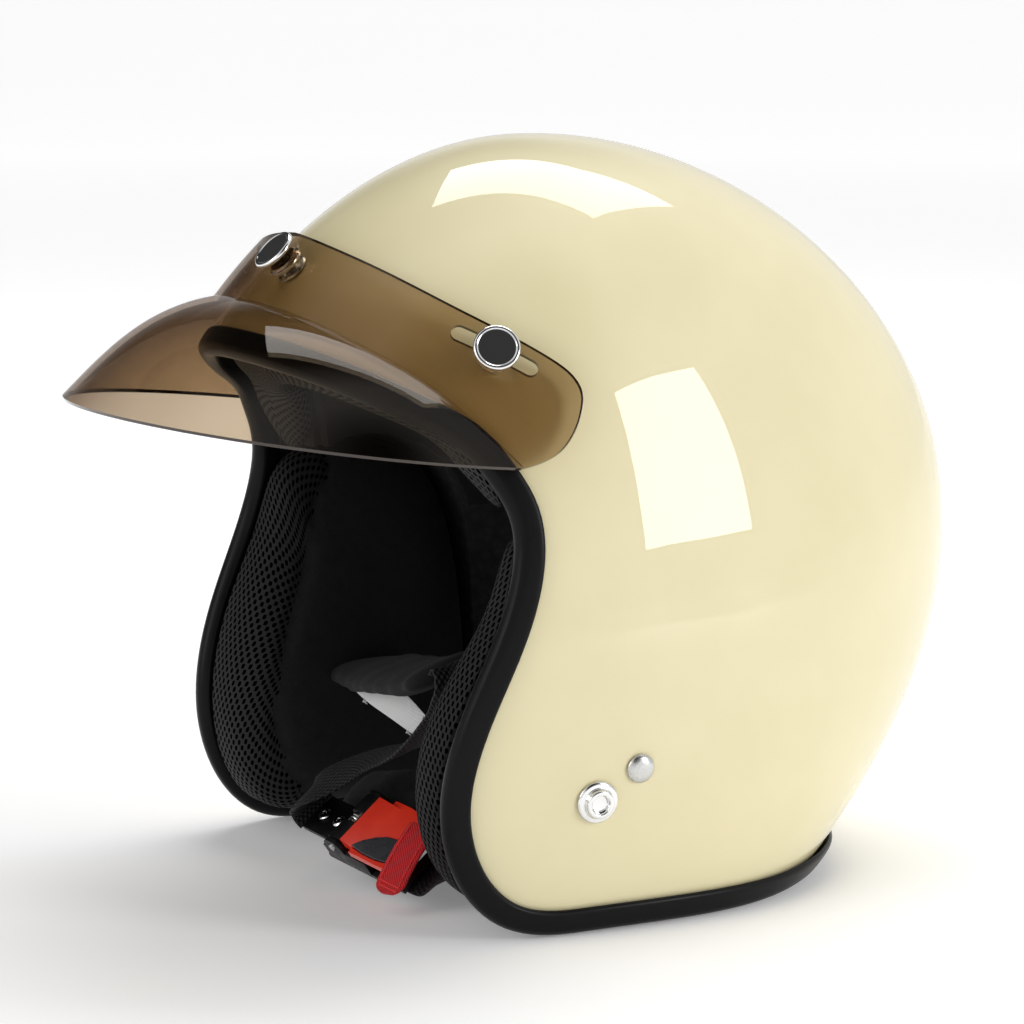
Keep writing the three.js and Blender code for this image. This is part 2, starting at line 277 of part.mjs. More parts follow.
// ---- peak: band over the front of the shell and an arched brim -----------------------
const TOP = [[0, -91.4, 236.0], [15.0, -90.7, 234.0], [32.6, -88.0, 231.2], [50.6, -81.9, 226.3], [65.0, -74.1, 220.3], [75.2, -66.1, 214.7], [83.6, -57.1, 208.9], [89.7, -48.9, 203.5], [94.4, -41.4, 198.1], [97.4, -36.9, 193.7], [100.0, -34.8, 188.4], [101.9, -36.0, 182.9], [103.6, -39.3, 176.5], [104.6, -45.8, 169.5], [104.0, -53.2, 165.9], [102.8, -59.5, 164.2]];
const bandOff = (x) => BAND_OFF + BAND_RISE * Math.exp(-((x / 35) ** 2));
const END = onSurf(V(102.8, -59.5, 164.2), bandOff(102.8));
function peakGrid(n = 13, nb = 3, nr = 4) {
  const T = curve3(TOP, n), a = 128.3, b = 135.4, y0 = -36.1, zc = 179.6, slope = -0.181, bul = 6.8, sag = -2.1;
  let E = [];
  for (let i = 0; i <= 400; i++) { const u = Math.PI / 2 * i / 400, x = a * Math.sin(u), y = y0 - b * Math.cos(u); if (y > END.y) break; E.push(V(x, y, zc + slope * (y - (y0 - b)) - sag * (x / a) ** 2)); }
  const d = END.clone().sub(E[E.length - 1]), L = E.length - 1; E = evenly(E.map((p, i) => p.addScaledVector(d, (i / L) ** 3)), n);
  const K = curve3([[0, -112, 213.3], [30, -107, 210.3], [58, -95, 200.8], [80, -78, 186.3], [95, -66, 172.3], [END.x, END.y, END.z]], n).map((p) => onSurf(p, bandOff(p.x)));
  K[n] = END.clone(); const rows = [];
  for (let i = 0; i <= nb; i++) rows.push(T.map((p, j) => (j === n ? END.clone() : onSurf(p.clone().lerp(K[j], i / nb), bandOff(p.clone().lerp(K[j], i / nb).x)))));
  const up = V(0, -0.35, 0.94), L0 = E[0].distanceTo(K[0]);
  for (let i = 1; i <= nr; i++) { const w = i / nr; rows.push(K.map((p, j) => p.clone().lerp(E[j], w).addScaledVector(up, bul * E[j].distanceTo(p) / L0 * Math.sin(Math.PI * w ** 0.85)))); rows[rows.length - 1][n] = END.clone(); }
  return rows.map((r) => [...r.slice(1).reverse().map((p) => V(-p.x, p.y, p.z)), ...r]);
}
{
  const G = peakGrid(), R = G.length, C = G[0].length, at3 = (i, j) => G[clamp(i, 0, R - 1)][clamp(j, 0, C - 1)];
  const nrm = (i, j) => { const n = at3(i, j + 1).clone().sub(at3(i, j - 1)).cross(at3(i + 1, j).clone().sub(at3(i - 1, j))); if (n.length() < 1e-6) return null; return n.normalize(); };
  let N = G.map((r, i) => r.map((_, j) => nrm(i, j)));
  for (const j of [0, C - 1]) for (let i = 0; i < R; i++) { const s = N[i][j === 0 ? 1 : C - 2]; N[i][j] = s ? s.clone() : V(Math.sign(G[i][j].x), 0, 0); }
  // all rows meet at the two band ends, so they share one normal there
  for (const j of [0, C - 1]) { const m = V(); for (let i = 0; i < R; i++) m.add(N[i][j]); m.normalize(); for (let i = 0; i < R; i++) N[i][j] = m.clone(); }
  const pos = [], ix = [], id = (s, i, j) => s * R * C + i * C + j, sgn = N[0][Math.floor(C / 2)].z > 0 ? 1 : -1;
  for (const s of [1, -1]) for (let i = 0; i < R; i++) for (let j = 0; j < C; j++) { const p = G[i][j].clone().addScaledVector(N[i][j], sgn * s * PEAK_T / 2); pos.push(p.x, p.y, p.z); }
  for (let i = 0; i < R - 1; i++) for (let j = 0; j < C - 1; j++) { for (const [s, f] of [[0, 0], [1, 1]]) { const q = [id(s, i, j), id(s, i, j + 1), id(s, i + 1, j + 1), id(s, i + 1, j)]; if (f) ix.push(q[0], q[1], q[2], q[0], q[2], q[3]); else ix.push(q[0], q[2], q[1], q[0], q[3], q[2]); } }
  const wall = (i, j, k, l) => ix.push(id(0, i, j), id(0, k, l), id(1, k, l), id(0, i, j), id(1, k, l), id(1, i, j));
  for (let j = 0; j < C - 1; j++) { wall(0, j, 0, j + 1); wall(R - 1, j + 1, R - 1, j); }
  const g = new THREE.BufferGeometry(); g.setAttribute('position', new THREE.BufferAttribute(new Float32Array(pos), 3)); g.setIndex(ix);
  let peak = solid(g);
  for (const s of [1, -1]) {   // slots for the side snaps, along the top edge of the band
    const d = V(s * 0.554, 0.715, -0.427), f = snaps[s > 0 ? 'left' : 'right']; d.addScaledVector(f.n, -d.dot(f.n)).normalize(); const y = f.n.clone().cross(d);
    const sh = new THREE.Shape(); const w = 2.8, l0 = -14, l1 = 13; sh.absarc(l1, 0, w, -Math.PI / 2, Math.PI / 2, false); sh.absarc(l0, 0, w, Math.PI / 2, Math.PI * 1.5, false);
    const c = new THREE.ExtrudeGeometry(sh, { depth: 14, bevelEnabled: false, curveSegments: 6 }); c.applyMatrix4(new THREE.Matrix4().makeBasis(d, y, f.n)); c.translate(f.p.x, f.p.y, f.p.z); peak = peak.subtract(solid(c));
  }
  peak = peak.subtract(solid(orient(cyl(2.8, 30, 12), snaps.centre.p, snaps.centre.n)));
  add('peak', geom(peak), M.smoke);
}

// ---- chin strap -------------------------------------------------------------------------
add('strap_sleeve', strap(SLEEVE, SLEEVE_W, 29, 6.5, 14, 0.32, 0.1), M.cloth);
const S_END = SLEEVE[5];
add('webbing_right', strap([[S_END[0] + 2.6, S_END[1] - 0.3, S_END[2] + 0.9], [50.5, -57.2, 87], [54, -58, 82], [51, -57.5, 75.5], [42, -56.6, 69.7], [15, -59.3, 52], [-6, -64.2, 41.5], arr(bp(3.5, 10.5, 13.5)), arr(bp(-1.6, 10, 8.5)), arr(bp(-2.6, 10, 4)), arr(bp(-1.5, 10, 1.2))], [[-0.1, 0.97, 0.24], [-0.1, 0.97, 0.24], [0, 1, 0], [0, 0.97, -0.24], [0, 0.95, -0.1], [0.1, 0.95, 0.3], [0, 0.85, 0.5], arr(BW), arr(BW), arr(BW), arr(BW)], WEB_W - 5, WEB_T, 26), M.web);
add('webbing_left', strap(NEAR, NEAR_W, WEB_W, WEB_T, 10), M.web);
add('strap_pad', strap([arr(bp(-11, 28, -12)), arr(bp(4, 31, -9)), arr(bp(20, 35, -5)), arr(bp(42, 39, 1.5))], [arr(BW), arr(BW), arr(BW), arr(BW)], 22, 6, 10, 0.32, 0.22), M.cloth);
add('label', strap([[-45, -45.9, 51.4], [-30, -44.4, 52.2], [-12, -44.8, 54.5], [2.5, -46.0, 56.0]], [[0.5, 0.35, 0.8], [0.5, 0.3, 0.85], [0.5, 0.3, 0.85], [0.5, 0.3, 0.85]], 11, 0.8, 6), M.label);

// buckle, in its own frame: l along the strap, w across, h towards its face
const box = (l0, l1, w0, w1, h0, h1) => { const g = new THREE.BoxGeometry(l1 - l0, w1 - w0, h1 - h0); g.translate((l0 + l1) / 2, (w0 + w1) / 2, (h0 + h1) / 2); return solid(g); };
const inB = (man) => { const g = geom(man); g.applyMatrix4(new THREE.Matrix4().makeBasis(BL, BW, BN)); g.translate(B0.x, B0.y, B0.z); return g; };
const prismW = (pts, w0, w1) => { const g = new THREE.ExtrudeGeometry(new THREE.Shape(pts.map(([l, h]) => new THREE.Vector2(l, h))), { depth: w1 - w0, bevelEnabled: false, curveSegments: 8 }); g.applyMatrix4(new THREE.Matrix4().set(1, 0, 0, 0, 0, 0, -1, w1, 0, 1, 0, 0, 0, 0, 0, 1)); return solid(g); };
const alongW = (r, w0, w1, l, h, seg = 14) => { const g = cyl(r, w1 - w0, seg); g.translate(l, (w0 + w1) / 2, h); return solid(g); };
const plan = (pts, h0, h1) => { const g = new THREE.ExtrudeGeometry(new THREE.Shape(pts.map(([l, w]) => new THREE.Vector2(l, w))), { depth: h1 - h0, bevelEnabled: false }); g.translate(0, 0, h0); return solid(g); };
const LENS = [[38.5, 0.4], [41, 4.2], [44.5, 7.4], [49, 9.6], [54, 10.4], [59, 9.6], [64.6, 6.6], [62, 2.8], [58, 0.6], [52, -0.2], [45, -0.3]];
const PIN_L = 27, PIN_H = 7.2, BW0 = -2, BW1 = 24;
// frame: floor plate with two cheeks that carry the pin, and a bar at the back for the webbing
let frame = box(19, 64, BW0, BW1, -1.8, 0).add(box(20, 45, BW0, BW0 + 1.8, -1.8, 5.6)).add(box(20, 45, BW1 - 1.8, BW1, -1.8, 5.6));
for (const w of [[BW0, BW0 + 1.8], [BW1 - 1.8, BW1]]) frame = frame.add(prismW([[20, 0], [34, 0], [32, 8], [29.5, 10.2], [24.5, 10.2], [22, 8]], w[0], w[1]));
frame = frame.subtract(alongW(1.75, BW0 - 1, BW1 + 1, PIN_L, PIN_H)).subtract(box(55, 59, 1.5, 20.5, -3, 2));
add('buckle_frame', inB(frame), M.plastic);
add('lever_pin', inB(alongW(1.45, BW0 - 0.8, BW1 + 0.8, PIN_L, PIN_H)), M.steel);
// lever: turns on the pin, carries the toothed catch under it and the pull tab at its end
let lever = prismW([[22.5, 6], [23.5, 9.6], [27, 11.2], [32, 11.4], [44, 9.8], [56, 9.6], [66, 11.4], [66.4, 9.2], [57, 7.0], [44, 6.9], [32, 6.6], [29, 4.4], [25, 4.4]], BW0 + 2.2, BW1 - 2.2);
lever = lever.add(prismW([[38, 6.95], [38, 9.4], [44, 9.8], [56, 9.6], [66, 11.4], [66.4, 9.2], [57, 7.0]], BW0, BW1)).subtract(alongW(1.75, -5, 30, PIN_L, PIN_H)).subtract(box(20, 31.4, 8.6, 13.4, 2, 14)).intersect(plan([[20, -3], [58, -2.6], [63, -1.2], [67, 3], [69, 10], [68.6, 16], [66, 19.6], [58, 22.4], [47, 24.2], [20, 25]], -2, 20)).subtract(plan(LENS.map(([l, w]) => [52 + (l - 52) * 1.03, 4.9 + (w - 4.9) * 1.08]), 8.5, 16));
add('buckle_lever', inB(lever), M.red);
add('lever_insert', inB(plan(LENS, 8.8, 14).intersect(prismW([[34, 8], [34, 11.9], [44, 10.4], [56, 10.2], [66, 12.0], [66, 8]], -3, 20))), M.grey);
add('pawl', inB(box(32.6, 36.4, 4, 18, 3.0, 6.2).add(prismW([[32.6, 3.0], [33.4, 2.45], [34.4, 3.0]], 4, 18)).add(prismW([[34.4, 3.0], [35.4, 2.45], [36.4, 3.0]], 4, 18))), M.steel);
// return spring: turns of wire round the pin, in the gap between the lever's two knuckles
{
  const P = []; for (let i = 0; i <= 40; i++) { const t = i / 40 * Math.PI * 5; P.push(V(PIN_L + 2.5 * Math.cos(t), 9.4 + i / 40 * 3.2, PIN_H + 2.5 * Math.sin(t))); }
  const sh = new THREE.Shape(); sh.absarc(0, 0, 0.42, 0, Math.PI * 2, false);
  const g = clean(new THREE.ExtrudeGeometry(sh, { steps: 36, curveSegments: 3, extrudePath: new THREE.CatmullRomCurve3(P), bevelEnabled: false }));
  g.applyMatrix4(new THREE.Matrix4().makeBasis(BL, BW, BN)); g.translate(B0.x, B0.y, B0.z); add('lever_spring', g, M.steel);
}
add('pull_tab', strap([arr(bp(63.5, 19, 12.9)), arr(bp(65.5, 12, 13.6)), arr(bp(67.5, 4, 13.2)), arr(bp(69.5, -4, 12)), arr(bp(71, -10, 10.5))], Array(5).fill(arr(BL)), 12, 1.6, 8), M.tab);
// ratchet strap: plain riveted end, teeth on its face
let tongue = box(0, 50, 2, 18, 0.5, 1.6).add(box(0, 17.5, 2, 18, 0.5, 2.2));
for (let l = 20; l < 47; l += 2.5) tongue = tongue.add(prismW([[l, 1.5], [l + 2.0, 2.15], [l + 2.2, 1.5]], 3.5, 16.5));
add('ratchet_strap', inB(tongue), M.plastic);
for (const [i, l] of [[1, 5], [2, 14]]) add(`tongue_rivet_${i}`, (() => { const g = lathe([[0.9, 2.5], [2.6, 2.5], [2.7, 2.9], [1.8, 3.5], [0.9, 3.3], [0.9, 2.5]], 14); g.rotateX(Math.PI / 2); g.applyMatrix4(new THREE.Matrix4().makeBasis(BL, BW, BN)); const c = bp(l, 10, 0); g.translate(c.x, c.y, c.z); return clean(g); })(), M.chrome);

export default helmet;
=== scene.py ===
import bpy, bmesh, json, math
import numpy as np
from mathutils import Vector, Matrix


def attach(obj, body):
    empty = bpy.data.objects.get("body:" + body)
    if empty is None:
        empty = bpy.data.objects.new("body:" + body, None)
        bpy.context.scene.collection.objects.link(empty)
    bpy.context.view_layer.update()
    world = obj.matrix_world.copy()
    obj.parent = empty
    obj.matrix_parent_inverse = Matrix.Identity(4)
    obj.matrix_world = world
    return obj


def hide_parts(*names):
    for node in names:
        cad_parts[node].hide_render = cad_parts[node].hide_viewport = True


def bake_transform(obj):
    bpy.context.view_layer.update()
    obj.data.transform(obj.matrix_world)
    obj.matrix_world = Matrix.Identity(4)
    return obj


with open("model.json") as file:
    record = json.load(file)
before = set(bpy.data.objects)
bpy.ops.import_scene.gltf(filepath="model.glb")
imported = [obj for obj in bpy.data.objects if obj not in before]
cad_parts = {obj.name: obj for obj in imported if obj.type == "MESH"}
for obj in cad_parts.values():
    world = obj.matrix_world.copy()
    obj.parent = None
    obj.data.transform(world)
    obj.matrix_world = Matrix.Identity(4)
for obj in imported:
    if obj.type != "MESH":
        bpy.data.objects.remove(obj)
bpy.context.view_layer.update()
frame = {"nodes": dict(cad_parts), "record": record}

SHIFT = np.array([0.0, 3.75, 0.5])          # the formulas below are in millimetres, before this shift
def row(p):
    return (np.asarray(p, float) + SHIFT) / 1000.0

# ------------------------------------------------------------------ shell surface
SHELL, CROWN_Z, HALF_W, WIDTH_Z = 3.0, 269.3, 114.6, 76.4
BACK, BACK_Z, FRONT, FRONT_Z, MID_Y = 164.3, 129.0, 151.1, 86.0, 0.3

def prof(z, B, zE, c, k, r, T):
    up = np.clip((z - zE) / (T - zE), 0, 1)
    dn = np.clip((zE - z) / r, 0, 2)
    return np.where(z >= zE, B * np.sqrt(np.maximum(1 - up * up, 1e-9)) * (1 + c * up * up), B * (1 - k * dn * dn))
def mexp(z):
    q = np.clip((z - 105.05) / (CROWN_Z - 105.05), 0, 1)
    return 2 + 0.302 * (1 - q * q)
def semi(z, off):
    z = np.asarray(z, float)
    return (prof(z, HALF_W + off, WIDTH_Z, 0.093, 0.077, 66.85, CROWN_Z + off), prof(z, FRONT + off, FRONT_Z, -0.093, 0.0, 76.4, CROWN_Z + off),
            prof(z, BACK + off, BACK_Z, -0.055, 0.354, 119.5, CROWN_Z + off))
def xs(y, z, off):
    a, bf, bb = semi(z, off)
    d = np.asarray(y, float) - MID_Y
    b, m = np.where(d < 0, bf, bb), mexp(np.asarray(z, float))
    return a * np.power(np.clip(1 - np.power(np.abs(d / b), m), 0, 1), 1 / m)
def F(p, off):
    p = np.asarray(p, float)
    off = np.broadcast_to(np.asarray(off, float), p.shape[:-1])
    z = np.minimum(p[..., 2], CROWN_Z + off - 1e-4)
    a, bf, bb = semi(z, off)
    d = p[..., 1] - MID_Y
    b, m = np.where(d < 0, bf, bb), mexp(z)
    f = np.power(np.abs(p[..., 0] / a), m) + np.power(np.abs(d / b), m) - 1
    return np.where(p[..., 2] >= CROWN_Z + off, 1 + (p[..., 2] - CROWN_Z - off), f)
def normal_at(p, off=0.0):
    p = np.asarray(p, float)
    g = np.stack([F(p + e, off) - F(p - e, off) for e in np.eye(3) * 0.05], -1)
    return g / np.linalg.norm(g, axis=-1, keepdims=True)
def on_surf(p, off):
    p = np.asarray(p, float)
    q = np.array([0, MID_Y, 100.0])
    d = p - q
    lo, hi = np.full(p.shape[:-1], 0.3), np.full(p.shape[:-1], 1.8)
    for _ in range(36):
        m = (lo + hi) / 2
        ins = F(q + d * m[..., None], off) < 0
        lo, hi = np.where(ins, m, lo), np.where(ins, hi, m)
    return q + d * lo[..., None]

# ------------------------------------------------------------------ curves
def unit(v):
    v = np.asarray(v, float)
    return v / np.maximum(np.linalg.norm(v, axis=-1, keepdims=True), 1e-12)
def spline(P, t):
    P = np.asarray(P, float)
    n = len(P)
    s = np.concatenate([[0], np.cumsum(np.linalg.norm(np.diff(P, axis=0), axis=1) ** 0.5)])
    s /= s[-1]
    h = np.diff(s)
    A, R = np.zeros((n, n)), np.zeros((n, P.shape[1]))
    A[0, 0] = A[-1, -1] = 1
    for i in range(1, n - 1):
        A[i, i - 1], A[i, i], A[i, i + 1] = h[i - 1], 2 * (h[i - 1] + h[i]), h[i]
        R[i] = 6 * ((P[i + 1] - P[i]) / h[i] - (P[i] - P[i - 1]) / h[i - 1])
    M = np.linalg.solve(A, R)
    t = np.asarray(t, float)
    i = np.clip(np.searchsorted(s, t, side="left"), 1, n - 1)
    hh = (s[i] - s[i - 1])[:, None]
    u, v = (s[i] - t)[:, None] / hh, (t - s[i - 1])[:, None] / hh
    return u * P[i - 1] + v * P[i] + ((u ** 3 - u) * M[i - 1] + (v ** 3 - v) * M[i]) * hh * hh / 6
def evenly(pts, n):
    pts = np.asarray(pts, float)
    s = np.concatenate([[0], np.cumsum(np.linalg.norm(np.diff(pts, axis=0), axis=1))])
    t = np.linspace(0, s[-1], n + 1)
    return np.stack([np.interp(t, s, pts[:, k]) for k in range(pts.shape[1])], 1)
def curve3(P, n, m=600):
    return evenly(spline(P, np.linspace(0, 1, m + 1)), n)

EDGE = [[-116.5, 194.1], [-101.3, 186.1], [-87.3, 177.9], [-74.9, 170.0], [-68.1, 160.4], [-61.9, 145.1], [-66.9, 116.3], [-80.6, 83.8], [-88.1, 49.9], [-80.7, 20.8], [-64.7, 4.6], [-48, 0], [-28, 0], [34, 0], [70, 2.0], [114, 6.5]]
def edge_offset(d, n=300):
    t = np.linspace(0, 1, n + 1)
    p, a, b = spline(EDGE, t), spline(EDGE, np.maximum(t - 1e-3, 0)), spline(EDGE, np.minimum(t + 1e-3, 1))
    k = unit(b - a)
    o = p + np.stack([-k[:, 1], k[:, 0]], 1) * d
    return np.concatenate([[o[0] + unit(o[0] - o[1]) * 150], o, [o[-1] + unit(o[-1] - o[-2]) * 150]])
def in_poly(y, z, poly):
    y, z = np.asarray(y), np.asarray(z)
    c = np.zeros(y.shape, bool)
    for (y0, z0), (y1, z1) in zip(poly, np.roll(poly, -1, 0)):
        k = (z0 > z) != (z1 > z)
        c ^= k & (y < (y1 - y0) * (z - z0) / (z1 - z0 + 1e-15) + y0)
    return c
def opening(d):
    o = edge_offset(d)
    return np.concatenate([o, [[o[-1][0], -200.0], [o[0][0], -200.0]]])
def rim_path(d, off, n):
    p = edge_offset(d, 600)
    dense = []
    for i in range(len(p) - 1):
        k = 200 if i in (0, len(p) - 2) else 4
        dense += [p[i] + (p[i + 1] - p[i]) * j / k for j in range(k)]
    dense = np.array(dense)
    ins = lambda q: (q[..., 1] < CROWN_Z + off) & (F(np.stack([0 * q[..., 0], q[..., 0], q[..., 1]], -1), off) < 0)
    w = np.where(ins(dense))[0]
    a, b = w[0], w[-1]
    def cross(u, v):
        for _ in range(40):
            m = (u + v) / 2
            if ins(m):
                u = m
            else:
                v = m
        return u
    s0, s1 = cross(dense[a], dense[a - 1]), cross(dense[b], dense[b + 1])
    r = (np.arange(24) / 24.0)[:, None] ** 2
    line = np.concatenate([s0 + (dense[a + 1] - s0) * r, dense[a + 1:b], (s1 + (dense[b - 1] - s1) * r)[::-1]])
    half = np.stack([xs(line[:, 0], line[:, 1], off), line[:, 0], line[:, 1]], 1)
    half[0, 0] = half[-1, 0] = 0
    return evenly(half, n)
MIRROR = np.array([-1.0, 1, 1])
def frames(P, closed, off):
    P = np.asarray(P, float)
    if closed:
        T = np.roll(P, -1, 0) - np.roll(P, 1, 0)
    else:
        T = np.concatenate([[P[1] - P[0]], P[2:] - P[:-2], [P[-1] - P[-2]]])
    T = unit(T)
    N = normal_at(P, off)
    N = unit(N - T * (N * T).sum(1, keepdims=True))
    return P, T, N, np.cross(T, N)

# ------------------------------------------------------------------ mesh building
COLL = bpy.context.scene.collection
def make(name, verts, faces, uv=None, sharp=35.0, merge=True):
    me = bpy.data.meshes.new(name)
    me.from_pydata([tuple(v) for v in row(verts)], [], [tuple(int(i) for i in f) for f in faces])
    if uv is not None:
        lay = me.uv_layers.new(name="UVMap")
        flat = np.array([c for f in uv for c in f], np.float32).reshape(-1)
        lay.data.foreach_set("uv", flat)
    bm = bmesh.new()
    bm.from_mesh(me)
    if merge:
        bmesh.ops.remove_doubles(bm, verts=bm.verts, dist=2e-6)
    bmesh.ops.recalc_face_normals(bm, faces=bm.faces)
    bm.to_mesh(me)
    bm.free()
    for p in me.polygons:
        p.use_smooth = True
    me.set_sharp_from_angle(angle=math.radians(sharp))
    ob = bpy.data.objects.new(name, me)
    COLL.objects.link(ob)
    return ob
def loft(name, R, closed=False, caps=True, sharp=35.0, du=0.0):
    R = np.asarray(R, float)
    k, n = R.shape[:2]
    s = np.concatenate([[0], np.cumsum(np.linalg.norm(R[1:].mean(1) - R[:-1].mean(1), axis=1))]) / 1000
    mid = R[k // 2]
    v = np.concatenate([[0], np.cumsum(np.linalg.norm(np.roll(mid, -1, 0) - mid, axis=1))]) / 1000
    faces, uv = [], []
    for i in range(k if closed else k - 1):
        a, b = i * n, ((i + 1) % k) * n
        s0, s1 = s[i], s[i + 1] if i + 1 < k else s[-1] + 0.002
        for j in range(n):
            q = (j + 1) % n
            faces.append((a + j, a + q, b + q, b + j))
            uv.append([(s0, v[j]), (s0, v[j + 1]), (s1, v[j + 1]), (s1, v[j])])
    if not closed and caps:
        for base in (0, (k - 1) * n):
            faces.append(tuple(range(base, base + n)))
            uv.append([(0.0, v[j]) for j in range(n)])
    return make(name, R.reshape(-1, 3), faces, uv, sharp)
def rounded(P, r=0.3, m=3):
    out = [P[0]]
    for a, b, c in zip(P[:-2], P[1:-1], P[2:]):
        a, b, c = (np.array(q, float) for q in (a, b, c))
        la, lc = np.linalg.norm(a - b), np.linalg.norm(c - b)
        k = min(r, la * 0.45, lc * 0.45)
        p, q = b + (a - b) / la * k, b + (c - b) / lc * k
        for i in range(m + 1):
            t = i / m
            out.append((1 - t) ** 2 * p + 2 * t * (1 - t) * b + t * t * q)
    out.append(P[-1])
    return np.array(out, float)
def lathe(name, P, pos, n, seg=72, r=0.3, closed=False):
    P = rounded(P, r)
    n = unit(n)
    u = unit(np.cross(n, [0, 0, 1.0] if abs(n[2]) < 0.9 else [1.0, 0, 0]))
    w = np.cross(n, u)
    t = np.linspace(0, 2 * np.pi, seg, endpoint=False)
    ring = np.cos(t)[:, None] * u + np.sin(t)[:, None] * w
    R = [np.asarray(pos) + n * h + ring * max(rr, 0.0) for rr, h in P]
    return loft(name, np.array(R), caps=False, sharp=32)
def section(w, t, n=28, p=2.6):
    a = np.linspace(0, 2 * np.pi, n, endpoint=False)
    c, s = np.cos(a), np.sin(a)
    return np.stack([w / 2 * np.sign(c) * np.abs(c) ** (2 / p), t / 2 * np.sign(s) * np.abs(s) ** (2 / p)], 1)
def strap_rings(P, Wd, w, t, n, p=2.6, cap=0.0, sec=28, puff=None):
    c = curve3(P, n)
    P = np.asarray(P, float)
    Wd = np.asarray(Wd, float)
    s = np.concatenate([[0], np.cumsum(np.linalg.norm(np.diff(P, axis=0), axis=1))])
    T = unit(np.concatenate([[c[1] - c[0]], c[2:] - c[:-2], [c[-1] - c[-2]]]))
    R = []
    for i in range(n + 1):
        d = s[-1] * i / n
        W = np.array([np.interp(d, s, Wd[:, k]) for k in range(3)])
        W = unit(W - T[i] * (W @ T[i]))
        N = np.cross(T[i], W)
        k = 1.0
        if cap:
            e = min(i, n - i) / n
            if e < cap:
                k = math.sqrt(max(1 - (1 - e / cap) ** 2, 0.03))
        kw, kt = puff(i / n) if puff else (1, 1)
        q = section(w * k * kw, t * k * kt, sec, p)
        R.append(c[i] + q[:, :1] * W + q[:, 1:] * N)
    return np.array(R), c, T

# ------------------------------------------------------------------ materials
MATS = {}
class Mat:
    def __init__(s, name, base, rough, metal=0.0, **kw):
        s.m = bpy.data.materials.new(name)
        s.m.use_nodes = True
        s.n, s.l = s.m.node_tree.nodes, s.m.node_tree.links
        s.b = s.n["Principled BSDF"]
        s.b.inputs["Base Color"].default_value = (*base, 1)
        s.b.inputs["Roughness"].default_value = rough
        s.b.inputs["Metallic"].default_value = metal
        for k, v in kw.items():
            s.b.inputs[k.replace("_", " ")].default_value = v
        s.tc = s.n.new("ShaderNodeTexCoord")
        s.h = None
        MATS[name] = s.m
    def coord(s, kind="Object", scale=(1, 1, 1), rot=(0, 0, 0), loc=(0, 0, 0)):
        m = s.n.new("ShaderNodeMapping")
        s.l.new(s.tc.outputs[kind], m.inputs["Vector"])
        m.inputs["Scale"].default_value = scale
        m.inputs["Rotation"].default_value = rot
        m.inputs["Location"].default_value = loc
        return m.outputs["Vector"]
    def noise(s, scale, detail=3.0, rough=0.5, co=None):
        n = s.n.new("ShaderNodeTexNoise")
        n.inputs["Scale"].default_value, n.inputs["Detail"].default_value, n.inputs["Roughness"].default_value = scale, detail, rough
        s.l.new(co or s.tc.outputs["Object"], n.inputs["Vector"])
        return n.outputs["Fac"]
    def math(s, op, a, b=None, c=None):
        n = s.n.new("ShaderNodeMath")
        n.operation = op
        for i, v in enumerate((a, b, c)):
            if v is None:
                continue
            if isinstance(v, (int, float)):
                n.inputs[i].default_value = v
            else:
                s.l.new(v, n.inputs[i])
        return n.outputs[0]
    def ramp(s, v, *stops):
        r = s.n.new("ShaderNodeValToRGB")
        while len(r.color_ramp.elements) < len(stops):
            r.color_ramp.elements.new(0.5)
        for e, (p, c) in zip(r.color_ramp.elements, stops):
            e.position = p
            e.color = (*c, 1) if hasattr(c, "__len__") else (c, c, c, 1)
        s.l.new(v, r.inputs["Fac"])
        return r.outputs["Color"]
    def mixc(s, f, a, b):
        n = s.n.new("ShaderNodeMix")
        n.data_type = "RGBA"
        s.l.new(f, n.inputs[0])
        for i, v in ((6, a), (7, b)):
            if hasattr(v, "__len__"):
                n.inputs[i].default_value = (*v, 1)
            else:
                s.l.new(v, n.inputs[i])
        return n.outputs[2]
    def bump(s, h, strength, dist):
        b = s.n.new("ShaderNodeBump")
        b.inputs["Strength"].default_value, b.inputs["Distance"].default_value = strength, dist
        s.l.new(h, b.inputs["Height"])
        if s.h is not None:
            s.l.new(s.h, b.inputs["Normal"])
        s.h = b.outputs["Normal"]
        s.l.new(s.h, s.b.inputs["Normal"])
    def set(s, sock, v):
        s.l.new(v, s.b.inputs[sock])
    def sep(s, v):
        n = s.n.new("ShaderNodeSeparateXYZ")
        s.l.new(v, n.inputs[0])
        return n.outputs

m = Mat("cream_paint", (0.78, 0.70, 0.44), 0.45, Coat_Weight=1.0, Coat_Roughness=0.012, Specular_IOR_Level=0.25)
m.set("Base Color", m.ramp(m.noise(26, 2), (0.35, (0.765, 0.69, 0.425)), (0.65, (0.79, 0.712, 0.447))))
m.bump(m.noise(900, 2), 0.02, 0.0002)
m = Mat("trim_rubber", (0.0025, 0.0025, 0.003), 0.34, Specular_IOR_Level=0.15)
m.set("Roughness", m.ramp(m.noise(60, 4), (0.3, 0.30), (0.7, 0.40)))
m.bump(m.noise(1500, 3), 0.12, 0.0003)
m = Mat("bead_foam", (0.01, 0.01, 0.01), 0.85)
v = m.n.new("ShaderNodeTexVoronoi")
v.inputs["Scale"].default_value = 260
m.l.new(m.tc.outputs["Object"], v.inputs["Vector"])
m.set("Base Color", m.ramp(v.outputs["Distance"], (0.0, 0.022), (0.8, 0.008)))
m.bump(v.outputs["Distance"], 0.5, 0.0006)
m = Mat("brushed_lining", (0.003, 0.003, 0.0034), 0.95, Sheen_Weight=0.03, Sheen_Roughness=0.4)
m.set("Base Color", m.ramp(m.noise(240, 5, 0.65), (0.3, 0.002), (0.75, 0.007)))
m.bump(m.noise(2600, 3), 0.5, 0.0005)
m.bump(m.noise(120, 3), 0.3, 0.0012)

